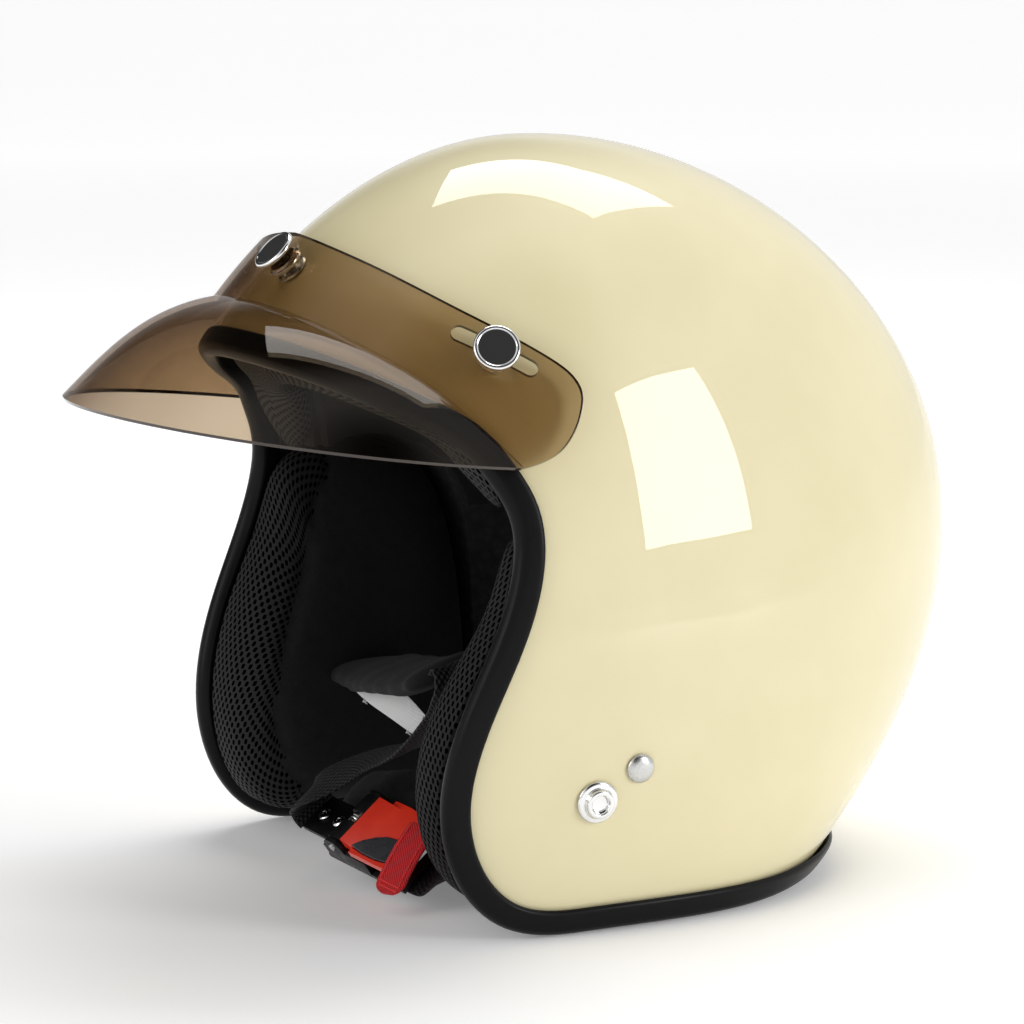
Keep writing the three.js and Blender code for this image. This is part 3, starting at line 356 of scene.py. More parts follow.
def spacer(name, kind, base):
    m = Mat(name, base, 0.7, Sheen_Weight=0.02, Sheen_Roughness=0.4, Specular_IOR_Level=0.35)
    x, y, z = m.sep(m.coord(kind, (1, 1, 1)))
    a, b = (x, y) if kind == "UV" else (y, z)
    def holes(du, dv):
        c = m.math("SINE", m.math("MULTIPLY", m.math("ADD", a, du), 2 * math.pi / 0.0046))
        d = m.math("SINE", m.math("MULTIPLY", m.math("ADD", b, dv), 2 * math.pi / 0.0034))
        return m.math("MULTIPLY", m.math("MAXIMUM", c, 0.0), m.math("MAXIMUM", d, 0.0))
    h = m.math("MAXIMUM", holes(0.0, 0.0), holes(0.0023, 0.0017))
    k = m.ramp(h, (0.12, 1.0), (0.34, 0.0))
    # the holes are painted near-black and lose their specular: painted shade inside the mesh openings. The threads
    # between them are painted 2.3 x the base colour.
    m.set("Base Color", m.ramp(h, (0.10, tuple(q * 2.3 for q in base)), (0.30, 0.0006)))
    m.set("Specular IOR Level", m.ramp(h, (0.12, 0.25), (0.30, 0.0)))
    m.bump(k, 1.0, 0.0022)
    m.bump(m.noise(3500, 2), 0.35, 0.0003)
    return m
spacer("spacer_mesh_uv", "UV", (0.013, 0.013, 0.014))
spacer("spacer_mesh_pad", "UV", (0.0045, 0.0045, 0.005))

def weave(name, base, pu, pv, rough=0.8, depth=0.0004, **kw):
    m = Mat(name, base, rough, **kw)
    x, y, z = m.sep(m.coord("UV", (1, 1, 1)))
    a = m.math("SINE", m.math("MULTIPLY", x, 2 * math.pi / pu))
    b = m.math("SINE", m.math("MULTIPLY", y, 2 * math.pi / pv))
    h = m.math("ADD", m.math("MULTIPLY", m.math("MULTIPLY", a, b), 0.5), 0.5)
    # the base colour follows the weave height: the valleys between the threads are painted darker (painted shade, 0.45
    # x the base) and the crests lighter (1.3 x the base)
    m.set("Base Color", m.ramp(h, (0.1, tuple(q * 0.45 for q in base)), (0.8, tuple(min(q * 1.3, 1) for q in base))))
    m.bump(h, 0.8, depth)
    m.bump(m.noise(3000, 2), 0.3, 0.0002)
    return m
weave("strap_webbing", (0.006, 0.006, 0.007), 0.0026, 0.0022, 0.6, 0.0007, Sheen_Weight=0.04, Specular_IOR_Level=0.3)
weave("label_satin", (0.80, 0.79, 0.77), 0.0007, 0.0007, 0.45, 0.00012, Sheen_Weight=0.3)
weave("tab_ribbon", (0.62, 0.006, 0.012), 0.0013, 0.0011, 0.75, Sheen_Weight=0.04)
m = Mat("stitch_thread", (0.80, 0.02, 0.02), 0.6, Sheen_Weight=0.1)
m.bump(m.noise(5000, 2), 0.4, 0.0002)
m = Mat("black_thread", (0.02, 0.02, 0.022), 0.6, Sheen_Weight=0.3)
m.bump(m.noise(5000, 2), 0.4, 0.0002)
m = Mat("white_thread", (0.75, 0.75, 0.73), 0.6, Sheen_Weight=0.3)
m.bump(m.noise(5000, 2), 0.4, 0.0002)
m = Mat("black_nylon", (0.004, 0.004, 0.0045), 0.36, Specular_IOR_Level=0.3)
m.set("Roughness", m.ramp(m.noise(300, 3), (0.3, 0.28), (0.7, 0.46)))
m.bump(m.noise(1800, 3), 0.15, 0.0003)
m = Mat("red_plastic", (0.85, 0.04, 0.016), 0.3, Coat_Weight=0.3, Coat_Roughness=0.15)
m.set("Base Color", m.ramp(m.noise(90, 3), (0.3, (0.80, 0.032, 0.013)), (0.7, (0.88, 0.045, 0.018))))
m.bump(m.noise(1600, 2), 0.08, 0.0002)
m = Mat("grey_insert", (0.035, 0.037, 0.042), 0.3)
m.set("Roughness", m.ramp(m.noise(400, 3), (0.3, 0.22), (0.7, 0.40)))
m.bump(m.noise(2400, 2), 0.12, 0.0002)
m = Mat("chrome", (0.86, 0.86, 0.86), 0.06, 1.0)
m.set("Roughness", m.ramp(m.noise(500, 4, 0.6, m.coord("Object", (1, 6, 1))), (0.35, 0.05), (0.75, 0.13)))
m = Mat("bright_steel", (0.62, 0.62, 0.61), 0.25, 1.0)
m.set("Roughness", m.ramp(m.noise(700, 4, 0.6, m.coord("Object", (1, 8, 1))), (0.3, 0.2), (0.75, 0.38)))
m.bump(m.noise(1500, 2), 0.06, 0.0001)

def smoked(name, thin, thick, rough):
    m = Mat(name, thin, rough)
    tr = m.n.new("ShaderNodeBsdfTransparent")
    gl = m.n.new("ShaderNodeBsdfGlossy")
    mx = m.n.new("ShaderNodeMixShader")
    lw = m.n.new("ShaderNodeLayerWeight")
    f = lw.outputs["Facing"]
    m.l.new(m.mixc(m.math("POWER", f, 2.2), m.ramp(m.noise(30, 2), (0.3, tuple(q * 0.96 for q in thin)), (0.7, thin)), thick), tr.inputs["Color"])
    gl.inputs["Roughness"].default_value = rough
    m.l.new(m.math("ADD", m.math("MULTIPLY", m.math("POWER", f, 5.0), 0.50), 0.022), mx.inputs[0])
    m.l.new(tr.outputs[0], mx.inputs[1])
    m.l.new(gl.outputs[0], mx.inputs[2])
    m.l.new(mx.outputs[0], m.n["Material Output"].inputs["Surface"])
    return m
smoked("smoked_plastic", (0.75, 0.67, 0.56), (0.38, 0.30, 0.25), 0.015)
m = Mat("smoked_edge", (0.030, 0.018, 0.010), 0.12, Coat_Weight=0.5)
m.bump(m.noise(700, 2), 0.05, 0.0001)

BODY = {n: b for b, ns in frame["record"]["behaviour"]["bodies"].items() for n in ns}
def dress(ob, mat):
    ob.data.materials.clear()
    ob.data.materials.append(MATS[mat])
    return ob
def place(ob, mat, slot, *nodes, body=None):
    dress(ob, mat)
    if nodes:
        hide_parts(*nodes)
    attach(ob, body or BODY[nodes[0]])
    return ob
def refine(node, mat, slot, bevel=0.25, seg=2, sharp=30, uvs=False):
    """A copy of the solid with merged faces and rounded edges."""
    src = frame["nodes"][node].data
    bm = bmesh.new()
    bm.from_mesh(src)
    bmesh.ops.remove_doubles(bm, verts=bm.verts, dist=2e-6)
    bmesh.ops.dissolve_limit(bm, angle_limit=math.radians(1.5), verts=bm.verts, edges=bm.edges)
    if bevel:
        es = [e for e in bm.edges if len(e.link_faces) == 2 and e.calc_face_angle(0) > math.radians(30)]
        bmesh.ops.bevel(bm, geom=es, offset=bevel / 1000, segments=seg, profile=0.6, affect="EDGES", clamp_overlap=True)
    bmesh.ops.triangulate(bm, faces=[f for f in bm.faces if len(f.verts) > 4])
    me = bpy.data.meshes.new(node + "_fine")
    bm.to_mesh(me)
    bm.free()
    for p in me.polygons:
        p.use_smooth = True
    me.set_sharp_from_angle(angle=math.radians(sharp))
    ob = bpy.data.objects.new(node + "_fine", me)
    COLL.objects.link(ob)
    return place(ob, mat, slot, node)
def boolean(ob, cutters):
    for c in cutters:
        md = ob.modifiers.new("cut", "BOOLEAN")
        md.operation, md.object, md.solver = "DIFFERENCE", c, "EXACT"
    dg = bpy.context.evaluated_depsgraph_get()
    me = bpy.data.meshes.new_from_object(ob.evaluated_get(dg))
    ob.modifiers.clear()
    old = ob.data
    ob.data = me
    bpy.data.meshes.remove(old)
    for c in cutters:
        bpy.data.objects.remove(c)

# ------------------------------------------------------------------ shell
def grid_surface(off, nu, n1, n2, zb):
    T = CROWN_Z + off
    z = np.concatenate([np.linspace(zb, WIDTH_Z, n1, endpoint=False), WIDTH_Z + (T - WIDTH_Z) * np.sin(np.linspace(0, np.pi / 2, n2))])
    z[-1] = T - 1e-5
    t = np.linspace(0, 2 * np.pi, nu, endpoint=False)
    a, bf, bb = semi(z, off)
    m = mexp(z)[:, None]
    c, s = np.cos(t)[None], np.sin(t)[None]
    x = a[:, None] * np.sign(c) * np.abs(c) ** (2 / m)
    y = MID_Y + np.where(s < 0, bf[:, None], bb[:, None]) * np.sign(s) * np.abs(s) ** (2 / m)
    return np.stack([x, y, np.broadcast_to(z[:, None], x.shape)], -1)
def shell_piece(name, o0, o1, cut, nu=224, n1=44, n2=76, extra=None):
    A, B = grid_surface(o0, nu, n1, n2, 0.0), grid_surface(o1, nu, n1, n2, 0.0)
    P = opening(cut)
    bad = in_poly(A[..., 1], A[..., 2], P)
    if extra is not None:
        bad |= extra(A)
    k, n = bad.shape
    top, bot, edge = [], [], {}
    N = k * n
    for i in range(k - 1):
        for j in range(n):
            q = (j + 1) % n
            if bad[i, j] or bad[i, q] or bad[i + 1, j] or bad[i + 1, q]:
                continue
            f = (i * n + j, i * n + q, (i + 1) * n + q, (i + 1) * n + j)
            top.append(f)
            for a, b in zip(f, f[1:] + f[:1]):
                if (b, a) in edge:
                    del edge[(b, a)]
                else:
                    edge[(a, b)] = 1
    faces = top + [tuple(N + v for v in f[::-1]) for f in top]
    last = (k - 1) * n
    faces += [(b, a, N + a, N + b) for a, b in edge if not (a >= last and b >= last)]
    faces += [tuple(range(last, last + n)), tuple(N + last + v for v in range(n))]
    return make(name, np.concatenate([A.reshape(-1, 3), B.reshape(-1, 3)]), faces, merge=True, sharp=60)
shell = shell_piece("shell", 0.0, -SHELL, 3.2)
bm = bmesh.new(); bm.from_mesh(shell.data)
bmesh.ops.delete(bm, geom=[v for v in bm.verts if not v.link_faces], context="VERTS")
bm.to_mesh(shell.data); bm.free()
place(shell, "cream_paint", "shell", "outer_shell")
shell.data.materials.append(MATS["bead_foam"])
for pl in shell.data.polygons:
    if pl.normal.dot(pl.center - Vector((0, 0.02, min(pl.center.z, 0.12)))) < 0:
        pl.material_index = 1

# ------------------------------------------------------------------ edge trim
half = rim_path(3.0, -SHELL / 2, 170)
loop = np.concatenate([half, (half[1:-1] * MIRROR)[::-1]])
P, T, N, E = frames(loop, True, -SHELL / 2)
o, i0 = SHELL / 2 + 2.1 + 0.65, SHELL / 2 + 0.55
outer = [(-7.5, i0 + 0.25), (-7.35, o - 0.9), (-6.6, o - 0.25), (-5.4, o - 0.05), (-3.6, o + 0.02), (-1.8, o + 0.02), (-0.2, o - 0.12), (1.1, o - 0.75), (2.1, o - 1.8), (2.75, o - 3.1), (2.95, 0.0)]
sec = outer + [(e, -n) for e, n in outer[-2::-1]] + [(-7.2, -i0), (1.7, -i0), (1.7, i0), (-7.2, i0)]
sec = np.array(sec)
sec = np.array(rounded(np.concatenate([sec, sec[:1]]), 0.4, 2))[:-1]
trim = loft("edge_trim_bead", P[:, None] + sec[None, :, :1] * E[:, None] + sec[None, :, 1:] * N[:, None], closed=True, sharp=50)
place(trim, "trim_rubber", "trim", "edge_trim")

# ------------------------------------------------------------------ linings
for node, mat, slot in (("eps_liner", "bead_foam", "foam"), ("crown_liner", "brushed_lining", "lining")):
    refine(node, mat, slot, bevel=0.8, seg=2, sharp=50)
def roll(name, d, off, hn, he, f0, f1, mat, slot, node, total=240, wob=0.0):
    half = rim_path(d, off, total)
    use = half[int(f0 * total):int(f1 * total) + 1]
    path = np.concatenate([(use[1:] * MIRROR)[::-1], use]) if f0 == 0 else np.concatenate([use, (use[:-1] * MIRROR)[::-1]])
    P, T, N, E = frames(path, False, off)
    k = len(P)
    e = np.minimum(np.arange(k), k - 1 - np.arange(k)) / 14.0
    sc = np.sqrt(np.clip(1 - (1 - np.clip(e, 0, 1)) ** 2, 0.02, 1))
    t = np.linspace(0, 2 * np.pi, 40, endpoint=False)
    c, s = np.cos(t), np.sin(t)
    u, v = np.sign(c) * np.abs(c) ** 0.7, np.sign(s) * np.abs(s) ** 0.7
    w = 1 + wob * np.sin(np.arange(k) * 0.31) * np.sin(np.arange(k) * 0.117)
    R = P[:, None] + he * (sc * w)[:, None, None] * u[None, :, None] * E[:, None] + hn * sc[:, None, None] * v[None, :, None] * N[:, None]
    ob = loft(name, R, sharp=70)
    place(ob, mat, slot, node)
    return ob, P, N, E
brow, bP, bN, bE = roll("brow_pad_soft", 7.4, -20.5, 12, 5.2, 0, 14 / 60, "spacer_mesh_uv", "spacer_mesh", "brow_pad")
roll("neck_roll_soft", 17.8, -20.3, 8.2, 5.7, 45 / 60, 1.0, "brushed_lining", "lining", "neck_roll", wob=0.05)

CHEEK = np.array([[-54.5, 139], [-59.5, 128], [-64.6, 112], [-77.8, 83.5], [-85.3, 50], [-78.5, 22], [-64, 9.5], [-44, 8.6], [-10, 8.6], [12, 10], [21, 26], [22, 70], [18, 112], [6, 136], [-16, 147], [-38, 148]], float)
def closed_curve(P, n):
    Q = np.concatenate([P[-3:], P, P[:3]])
    d = spline(Q, np.linspace(0, 1, 1200))
    a = int(np.argmin(np.linalg.norm(d - P[0], axis=1)[:500])); b = 500 + int(np.argmin(np.linalg.norm(d[500:] - P[0], axis=1)))
    return evenly(d[a:b + 1], n)[:-1]
OUT = closed_curve(CHEEK, 160)
def cheek(side, name, node):
    c = OUT.mean(0)
    rr = np.array([0.0, 0.12, 0.25, 0.38, 0.5, 0.6, 0.68, 0.74, 0.79, 0.83, 0.865, 0.895, 0.92, 0.94, 0.958, 0.972, 0.984, 0.993, 1.0])
    off = -8.4
    yz = c + (OUT - c)[None] * rr[:, None, None]
    front = OUT[np.argmin(np.linalg.norm(yz[:, :, None] - OUT[None, None], axis=-1), axis=2)]
    dist = np.linalg.norm(yz - front, axis=-1)
    # how far this point is from the front border of the pad
    fr = OUT[(OUT[:, 0] < -50) & (OUT[:, 1] > 14)]
    df = np.min(np.linalg.norm(yz[:, :, None] - fr[None, None], axis=-1), axis=2)
    q = np.clip((yz[..., 1] - 62) / 92, 0, 1)
    t = (9 + 31.0 * np.sqrt(np.maximum(1 - rr ** 4, 0))[:, None] + 0 * df) * (1 - 0.5 * q * q * (3 - 2 * q))
    x0 = xs(yz[..., 0], yz[..., 1], off)
    seam = np.exp(-((df - 13.0) / 1.1) ** 2) * 1.6
    puff = 0.9 * np.sin(yz[..., 1] * 0.11 + 0.6) * np.sin(yz[..., 0] * 0.09)
    slot = 0 * t
    inner = x0 - t + seam + puff * (1 - rr[:, None] ** 6) * 0.5
    A = np.stack([side * x0, yz[..., 0], yz[..., 1]], -1)
    B = np.stack([side * inner, yz[..., 0], yz[..., 1]], -1)
    # round the border between the two faces
    R = np.concatenate([A, B[::-1]])
    k, n = R.shape[:2]
    faces, uv = [], []
    arc = np.concatenate([[0], np.cumsum(np.linalg.norm(np.roll(OUT, -1, 0) - OUT, axis=1))]) / 1000
    vv = np.concatenate([np.zeros((1, n)), np.cumsum(np.linalg.norm(np.diff(R, axis=0), axis=2), axis=0)]) / 1000
    for i in range(k - 1):
        for j in range(n):
            q = (j + 1) % n
            faces.append((i * n + j, i * n + q, (i + 1) * n + q, (i + 1) * n + j))
            uj, uq = arc[j], arc[j + 1]
            uv.append([(uj, vv[i, j]), (uq, vv[i, q]), (uq, vv[i + 1, q]), (uj, vv[i + 1, j])])
    ob = make(name, R.reshape(-1, 3), faces, uv, sharp=75)
    dress(ob, "brushed_lining")
    ob.data.materials.append(MATS["spacer_mesh_pad"])
    for p in ob.data.polygons:
        y, z = p.center.y * 1000 - 3.75, p.center.z * 1000 - 0.5
        d = np.min(np.hypot(fr[:, 0] - y, fr[:, 1] - z))
        if d < 13.0:
            p.material_index = 1
    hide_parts(node)
    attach(ob, "helmet")
    return ob
cheek(1, "cheek_pad_left_soft", "cheek_pad_left")
cheek(-1, "cheek_pad_right_soft", "cheek_pad_right")

# ------------------------------------------------------------------ fixings
def at(x, y, z):
    p = np.array([x, y, z], float)
    return p, normal_at(p)
SX = float(xs(-58.2, 199.8, 0)); RX = float(xs(-34.8, 48.2, 0)); VX = float(xs(-18.9, 58.7, 0))
CY = MID_Y - float(semi(224.3, 0)[1])
snaps = {"left": at(SX, -58.2, 199.8), "right": at(-SX, -58.2, 199.8), "centre": at(0, CY, 224.3)}
rings = {"left": at(RX, -34.8, 48.2), "right": at(-RX, -34.8, 48.2)}
rivets = {"left": at(VX, -18.9, 58.7), "right": at(-VX, -18.9, 58.7)}
for k, (p, n) in snaps.items():
    up = 1.5 if k == "centre" else 0.0
    place(lathe(f"stud_{k}", [(0, -2.6), (1.6, -2.6), (1.6, 0.45), (6.0, 0.45), (6.2, 0.8), (5.8, 1.4), (2.3, 1.7 + up * 0.7), (2.0, 2.3 + up), (2.8, 2.8 + up), (2.6, 3.4 + up), (0, 3.5 + up)], p, n), "bright_steel", "metal", f"snap_stud_{k}")
    place(lathe(f"socket_{k}", [(0, 4.2 + up), (5.0, 4.2 + up), (5.0, 2.3 + up), (5.3, 2.25 + up), (6.3, 2.25 + up), (6.6, 2.4 + up), (6.6, 3.6 + up), (5.8, 4.0 + up), (5.4, 4.75 + up), (0, 4.75 + up)], p, n), "chrome", "metal", f"snap_socket_{k}")
    place(lathe(f"cap_{k}", [(0, 5.3 + up), (2.2, 5.3 + up), (2.2, 8.3 + up), (7.6, 8.3 + up), (8.2, 8.7 + up), (8.2, 9.7 + up), (7.75, 10.35 + up), (7.0, 10.45 + up), (6.6, 10.2 + up), (6.2, 10.12 + up), (0, 10.18 + up)], p, n, seg=96, r=0.45), "chrome", "metal", f"snap_cap_{k}")
for k, (p, n) in rings.items():
    place(lathe(f"ring_{k}", [(0, -2.6), (1.6, -2.6), (1.6, 0.45), (7.4, 0.45), (7.6, 0.9), (7.0, 1.6), (5.4, 1.8), (5.2, 3.2), (4.8, 3.9), (3.6, 4.0), (3.2, 3.4), (3.0, 1.8), (0, 1.8)], p, n, seg=96, r=0.4), "chrome", "metal", f"ring_snap_{k}")
for k, (p, n) in rivets.items():
    place(lathe(f"rivet_{k}", [(0, -9.6), (2.9, -9.6), (3.2, -9.0), (2.2, -8.7), (2.2, 0.45), (5.2, 0.45), (5.2, 0.9), (4.6, 1.7), (3.4, 2.35), (1.8, 2.7), (0, 2.8)], p, n, seg=72, r=0.5), "bright_steel", "metal", f"strap_rivet_{k}")
    refine(f"rivet_washer_{k}", "bright_steel", "steel", 0.15)
    refine(f"anchor_plate_{k}", "bright_steel", "steel", 0.3)

# ------------------------------------------------------------------ peak
TOP = [[0, -91.4, 236.0], [15.0, -90.7, 234.0], [32.6, -88.0, 231.2], [50.6, -81.9, 226.3], [65.0, -74.1, 220.3], [75.2, -66.1, 214.7], [83.6, -57.1, 208.9], [89.7, -48.9, 203.5], [94.4, -41.4, 198.1], [97.4, -36.9, 193.7], [100.0, -34.8, 188.4], [101.9, -36.0, 182.9], [103.6, -39.3, 176.5], [104.6, -45.8, 169.5], [104.0, -53.2, 165.9], [102.8, -59.5, 164.2]]
band = lambda x: 6.6 + 1.5 * np.exp(-((np.asarray(x) / 35.0) ** 2))
def peak_rows(n=96, nb=12, nr=26):
    END = on_surf(np.array([102.8, -59.5, 164.2]), band(102.8))
    T = curve3(TOP, n)
    a, b, y0, zc, sl, bul = 128.3, 135.4, -36.1, 179.6, -0.181, 6.8
    u = np.linspace(0, np.pi / 2, 801)
    x, y = a * np.sin(u), y0 - b * np.cos(u)
    k = y <= END[1]
    E = np.stack([x, y, zc + sl * (y - (y0 - b)) + 2.1 * (x / a) ** 2], 1)[k]
    w = (np.arange(len(E)) / (len(E) - 1.0))[:, None]
    E = evenly(E + (END - E[-1]) * w ** 3, n)
    K = curve3([[0, -112, 213.3], [30, -107, 210.3], [58, -95, 200.8], [80, -78, 186.3], [95, -66, 172.3], END.tolist()], n)
    K = on_surf(K, band(K[:, 0]))
    K[-1] = END
    rows = []
    for i in range(nb + 1):
        q = T + (K - T) * (i / nb)
        r = on_surf(q, band(q[:, 0]))
        r[-1] = END
        rows.append(r)
    up = np.array([0, -0.35, 0.94])
    L0 = np.linalg.norm(E[0] - K[0])
    for i in range(1, nr + 1):
        w = i / nr
        r = K + (E - K) * w + up * (bul * np.linalg.norm(E - K, axis=1) / L0 * math.sin(math.pi * w ** 0.85))[:, None]
        r[-1] = END
        rows.append(r)
    return np.array([np.concatenate([(r[1:] * MIRROR)[::-1], r]) for r in rows])
G = peak_rows()
R_, C_ = G.shape[:2]
ii, jj = np.arange(R_), np.arange(C_)
cl = lambda v, k: np.clip(v, 0, k - 1)
du = G[:, cl(jj + 1, C_)] - G[:, cl(jj - 1, C_)]
dv = G[cl(ii + 1, R_)] - G[cl(ii - 1, R_)]
Nn = np.cross(du, dv)
for j in (0, C_ - 1):
    Nn[:, j] = Nn[:, 1 if j == 0 else C_ - 2]
Nn = unit(Nn)
for j in (0, C_ - 1):
    Nn[:, j] = unit(Nn[:, j].mean(0))
if Nn[0, C_ // 2, 2] < 0:
    Nn = -Nn
up1, dn1 = G + Nn, G - Nn
S = R_ * C_
faces = []
for i in range(R_ - 1):
    for j in range(C_ - 1):
        a, b, c, d = i * C_ + j, i * C_ + j + 1, (i + 1) * C_ + j + 1, (i + 1) * C_ + j
        faces += [(a, b, c, d), (S + d, S + c, S + b, S + a)]
verts = [up1.reshape(-1, 3), dn1.reshape(-1, 3)]
out0 = unit(G[0] - G[1]); out1 = unit(G[-1] - G[-2])
out0[[0, -1]] = out0[[1, -2]]; out1[[0, -1]] = out1[[1, -2]]
M0, M1 = G[0] + out0 * 0.55, G[-1] + out1 * 0.55
for M in (M0, M1):
    M[0], M[-1] = G[0, 0], G[0, -1]
verts += [M0, M1]
for j in range(C_ - 1):
    faces += [(j, 2 * S + j, 2 * S + j + 1, j + 1), (S + j, S + j + 1, 2 * S + j + 1, 2 * S + j)]
    e, f = (R_ - 1) * C_ + j, 2 * S + C_ + j
    faces += [(e, e + 1, f + 1, f), (S + e, f, f + 1, S + e + 1)]
peak = make("smoked_peak", np.concatenate(verts), faces, sharp=40)
cut = []
for s, k in ((1, "left"), (-1, "right")):
    p, n = snaps[k]
    d = np.array([s * 0.554, 0.715, -0.427])
    d = unit(d - n * (d @ n))
    y = np.cross(n, d)
    w, l0, l1 = 2.8, -14.0, 13.0
    t1, t2 = np.linspace(-np.pi / 2, np.pi / 2, 24), np.linspace(np.pi / 2, 1.5 * np.pi, 24)
    sh = np.concatenate([np.stack([l1 + w * np.cos(t1), w * np.sin(t1)], 1), np.stack([l0 + w * np.cos(t2), w * np.sin(t2)], 1)])
    cut.append(loft("slot_cutter_" + k, np.array([p + n * h + sh[:, :1] * d + sh[:, 1:] * y for h in (0.0, 14.0)])))
p, n = snaps["centre"]
t = np.linspace(0, 2 * np.pi, 32, endpoint=False)
u = np.array([1.0, 0, 0]); w = np.cross(n, u)
cut.append(loft("hole_cutter", np.array([p + n * h + 2.8 * (np.cos(t)[:, None] * u + np.sin(t)[:, None] * w) for h in (-15.0, 15.0)])))
boolean(peak, cut)
peak.data.materials.clear()
peak.data.materials.append(MATS["smoked_plastic"])
peak.data.materials.append(MATS["smoked_edge"])
from mathutils import kdtree
kd = kdtree.KDTree(S)
flatG, flatN = G.reshape(-1, 3), Nn.reshape(-1, 3)
for i, q in enumerate(row(flatG)):
    kd.insert(q, i)
kd.balance()
for pl in peak.data.polygons:
    co, i, dd = kd.find(pl.center)
    pl.material_index = 1 if abs(Vector(flatN[i]).dot(pl.normal)) < 0.6 else 0
for pl in peak.data.polygons:
    pl.use_smooth = True
peak.data.set_sharp_from_angle(angle=math.radians(40))
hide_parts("peak")
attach(peak, "peak")

# ------------------------------------------------------------------ strap and buckle
B0 = np.array([-23, -81, 13.5]); BL = unit([0.981, 0.16, -0.11]); BW = np.array([-0.06, 0.788, 0.612]); BW = unit(BW - BL * (BW @ BL)); BN = np.cross(BL, BW)
bp = lambda l, w, h: B0 + BL * l + BW * w + BN * h
SLEEVE = [[-95, -25.2, 59], [-70, -31.4, 62.2], [-35, -39.8, 67.6], [0, -50, 74.2], [28, -53.5, 79.5], [43, -56, 85.5]]
SLEEVE_W = [[0, 0.8, -0.6], [0, 0.97, 0.0], [0, 0.97, 0.24], [0, 0.97, 0.24], [-0.1, 0.97, 0.24], [-0.1, 0.97, 0.24]]
def on_strap(ob, mat, slot, *nodes):
    dress(ob, mat)
    if nodes:
        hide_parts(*nodes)
    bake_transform(ob)
    return ob
R, c, T = strap_rings(SLEEVE, SLEEVE_W, 30, 8.4, 150, p=2.5, cap=0.05, sec=44, puff=lambda t: (1 + 0.02 * math.sin(t * 60), 1 + 0.12 * math.sin(t * 23 + 1) * math.sin(t * 9)))
sleeve = on_strap(loft("strap_sleeve_soft", R, sharp=80), "brushed_lining", "lining", "strap_sleeve")
WR = [[45.6, -56.3, 86.4], [50.5, -57.2, 87], [54, -58, 82], [51.5, -57.5, 75.5], [45.5, -56.6, 69.2], [21, -58.6, 52], [-6, -64.2, 41.5]]
WRW = [[-0.1, 0.97, 0.24], [-0.1, 0.97, 0.24], [0, 1, 0], [0, 0.97, -0.24], [0, 0.95, -0.1], [0.1, 0.95, 0.3], [0, 0.85, 0.5]]
WR2 = WR[5:] + [bp(3.5, 10.5, 13.5).tolist(), bp(-1.6, 10, 8.5).tolist(), bp(-2.6, 10, 4).tolist(), bp(-1.5, 10, 1.2).tolist()]
ALL = WR + WR2[2:]
ALLW = WRW + [BW.tolist()] * 4
R, c, T = strap_rings(ALL, ALLW, 17.5, 1.7, 260, p=4, sec=32)
cutat = int(np.argmin(np.linalg.norm(c - np.array(WR[6]), axis=1)))
on_strap(loft("webbing_right_upper", R[:cutat + 1], sharp=50), "strap_webbing", "webbing", "webbing_right")
lowr = loft("webbing_right_lower", R[cutat:], sharp=50)
dress(lowr, "strap_webbing")
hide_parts("webbing_right")
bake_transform(lowr)
NEAR = [[103.2, -30.5, 46], [95, -34.5, 42.5], [80, -42, 33.5], [62, -52, 20.5], [50, -58, 14], bp(68, 11, -2.9).tolist(), bp(57, 11, -2.9).tolist()]
NEAR_W = [[0, 0.8, -0.6], [0, 0.85, -0.5], [0, 0.95, -0.1], [0, 0.95, 0.3], [0, 0.85, 0.5], BW.tolist(), BW.tolist()]
R, c, T = strap_rings(NEAR, NEAR_W, 22, 1.7, 130, p=4, sec=32)
wl = loft("webbing_left_soft", R, sharp=50)
dress(wl, "strap_webbing")
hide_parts("webbing_left")
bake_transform(wl)
R, c, T = strap_rings([bp(-11, 28, -12), bp(4, 31, -9), bp(20, 35, -5), bp(42, 39, 1.5)], [BW] * 4, 23, 6.6, 90, p=2.5, cap=0.2, sec=44, puff=lambda t: (1, 1 + 0.06 * math.sin(t * 19)))
pad = place(loft("strap_pad_soft", R, sharp=80), "brushed_lining", "lining", "strap_pad")
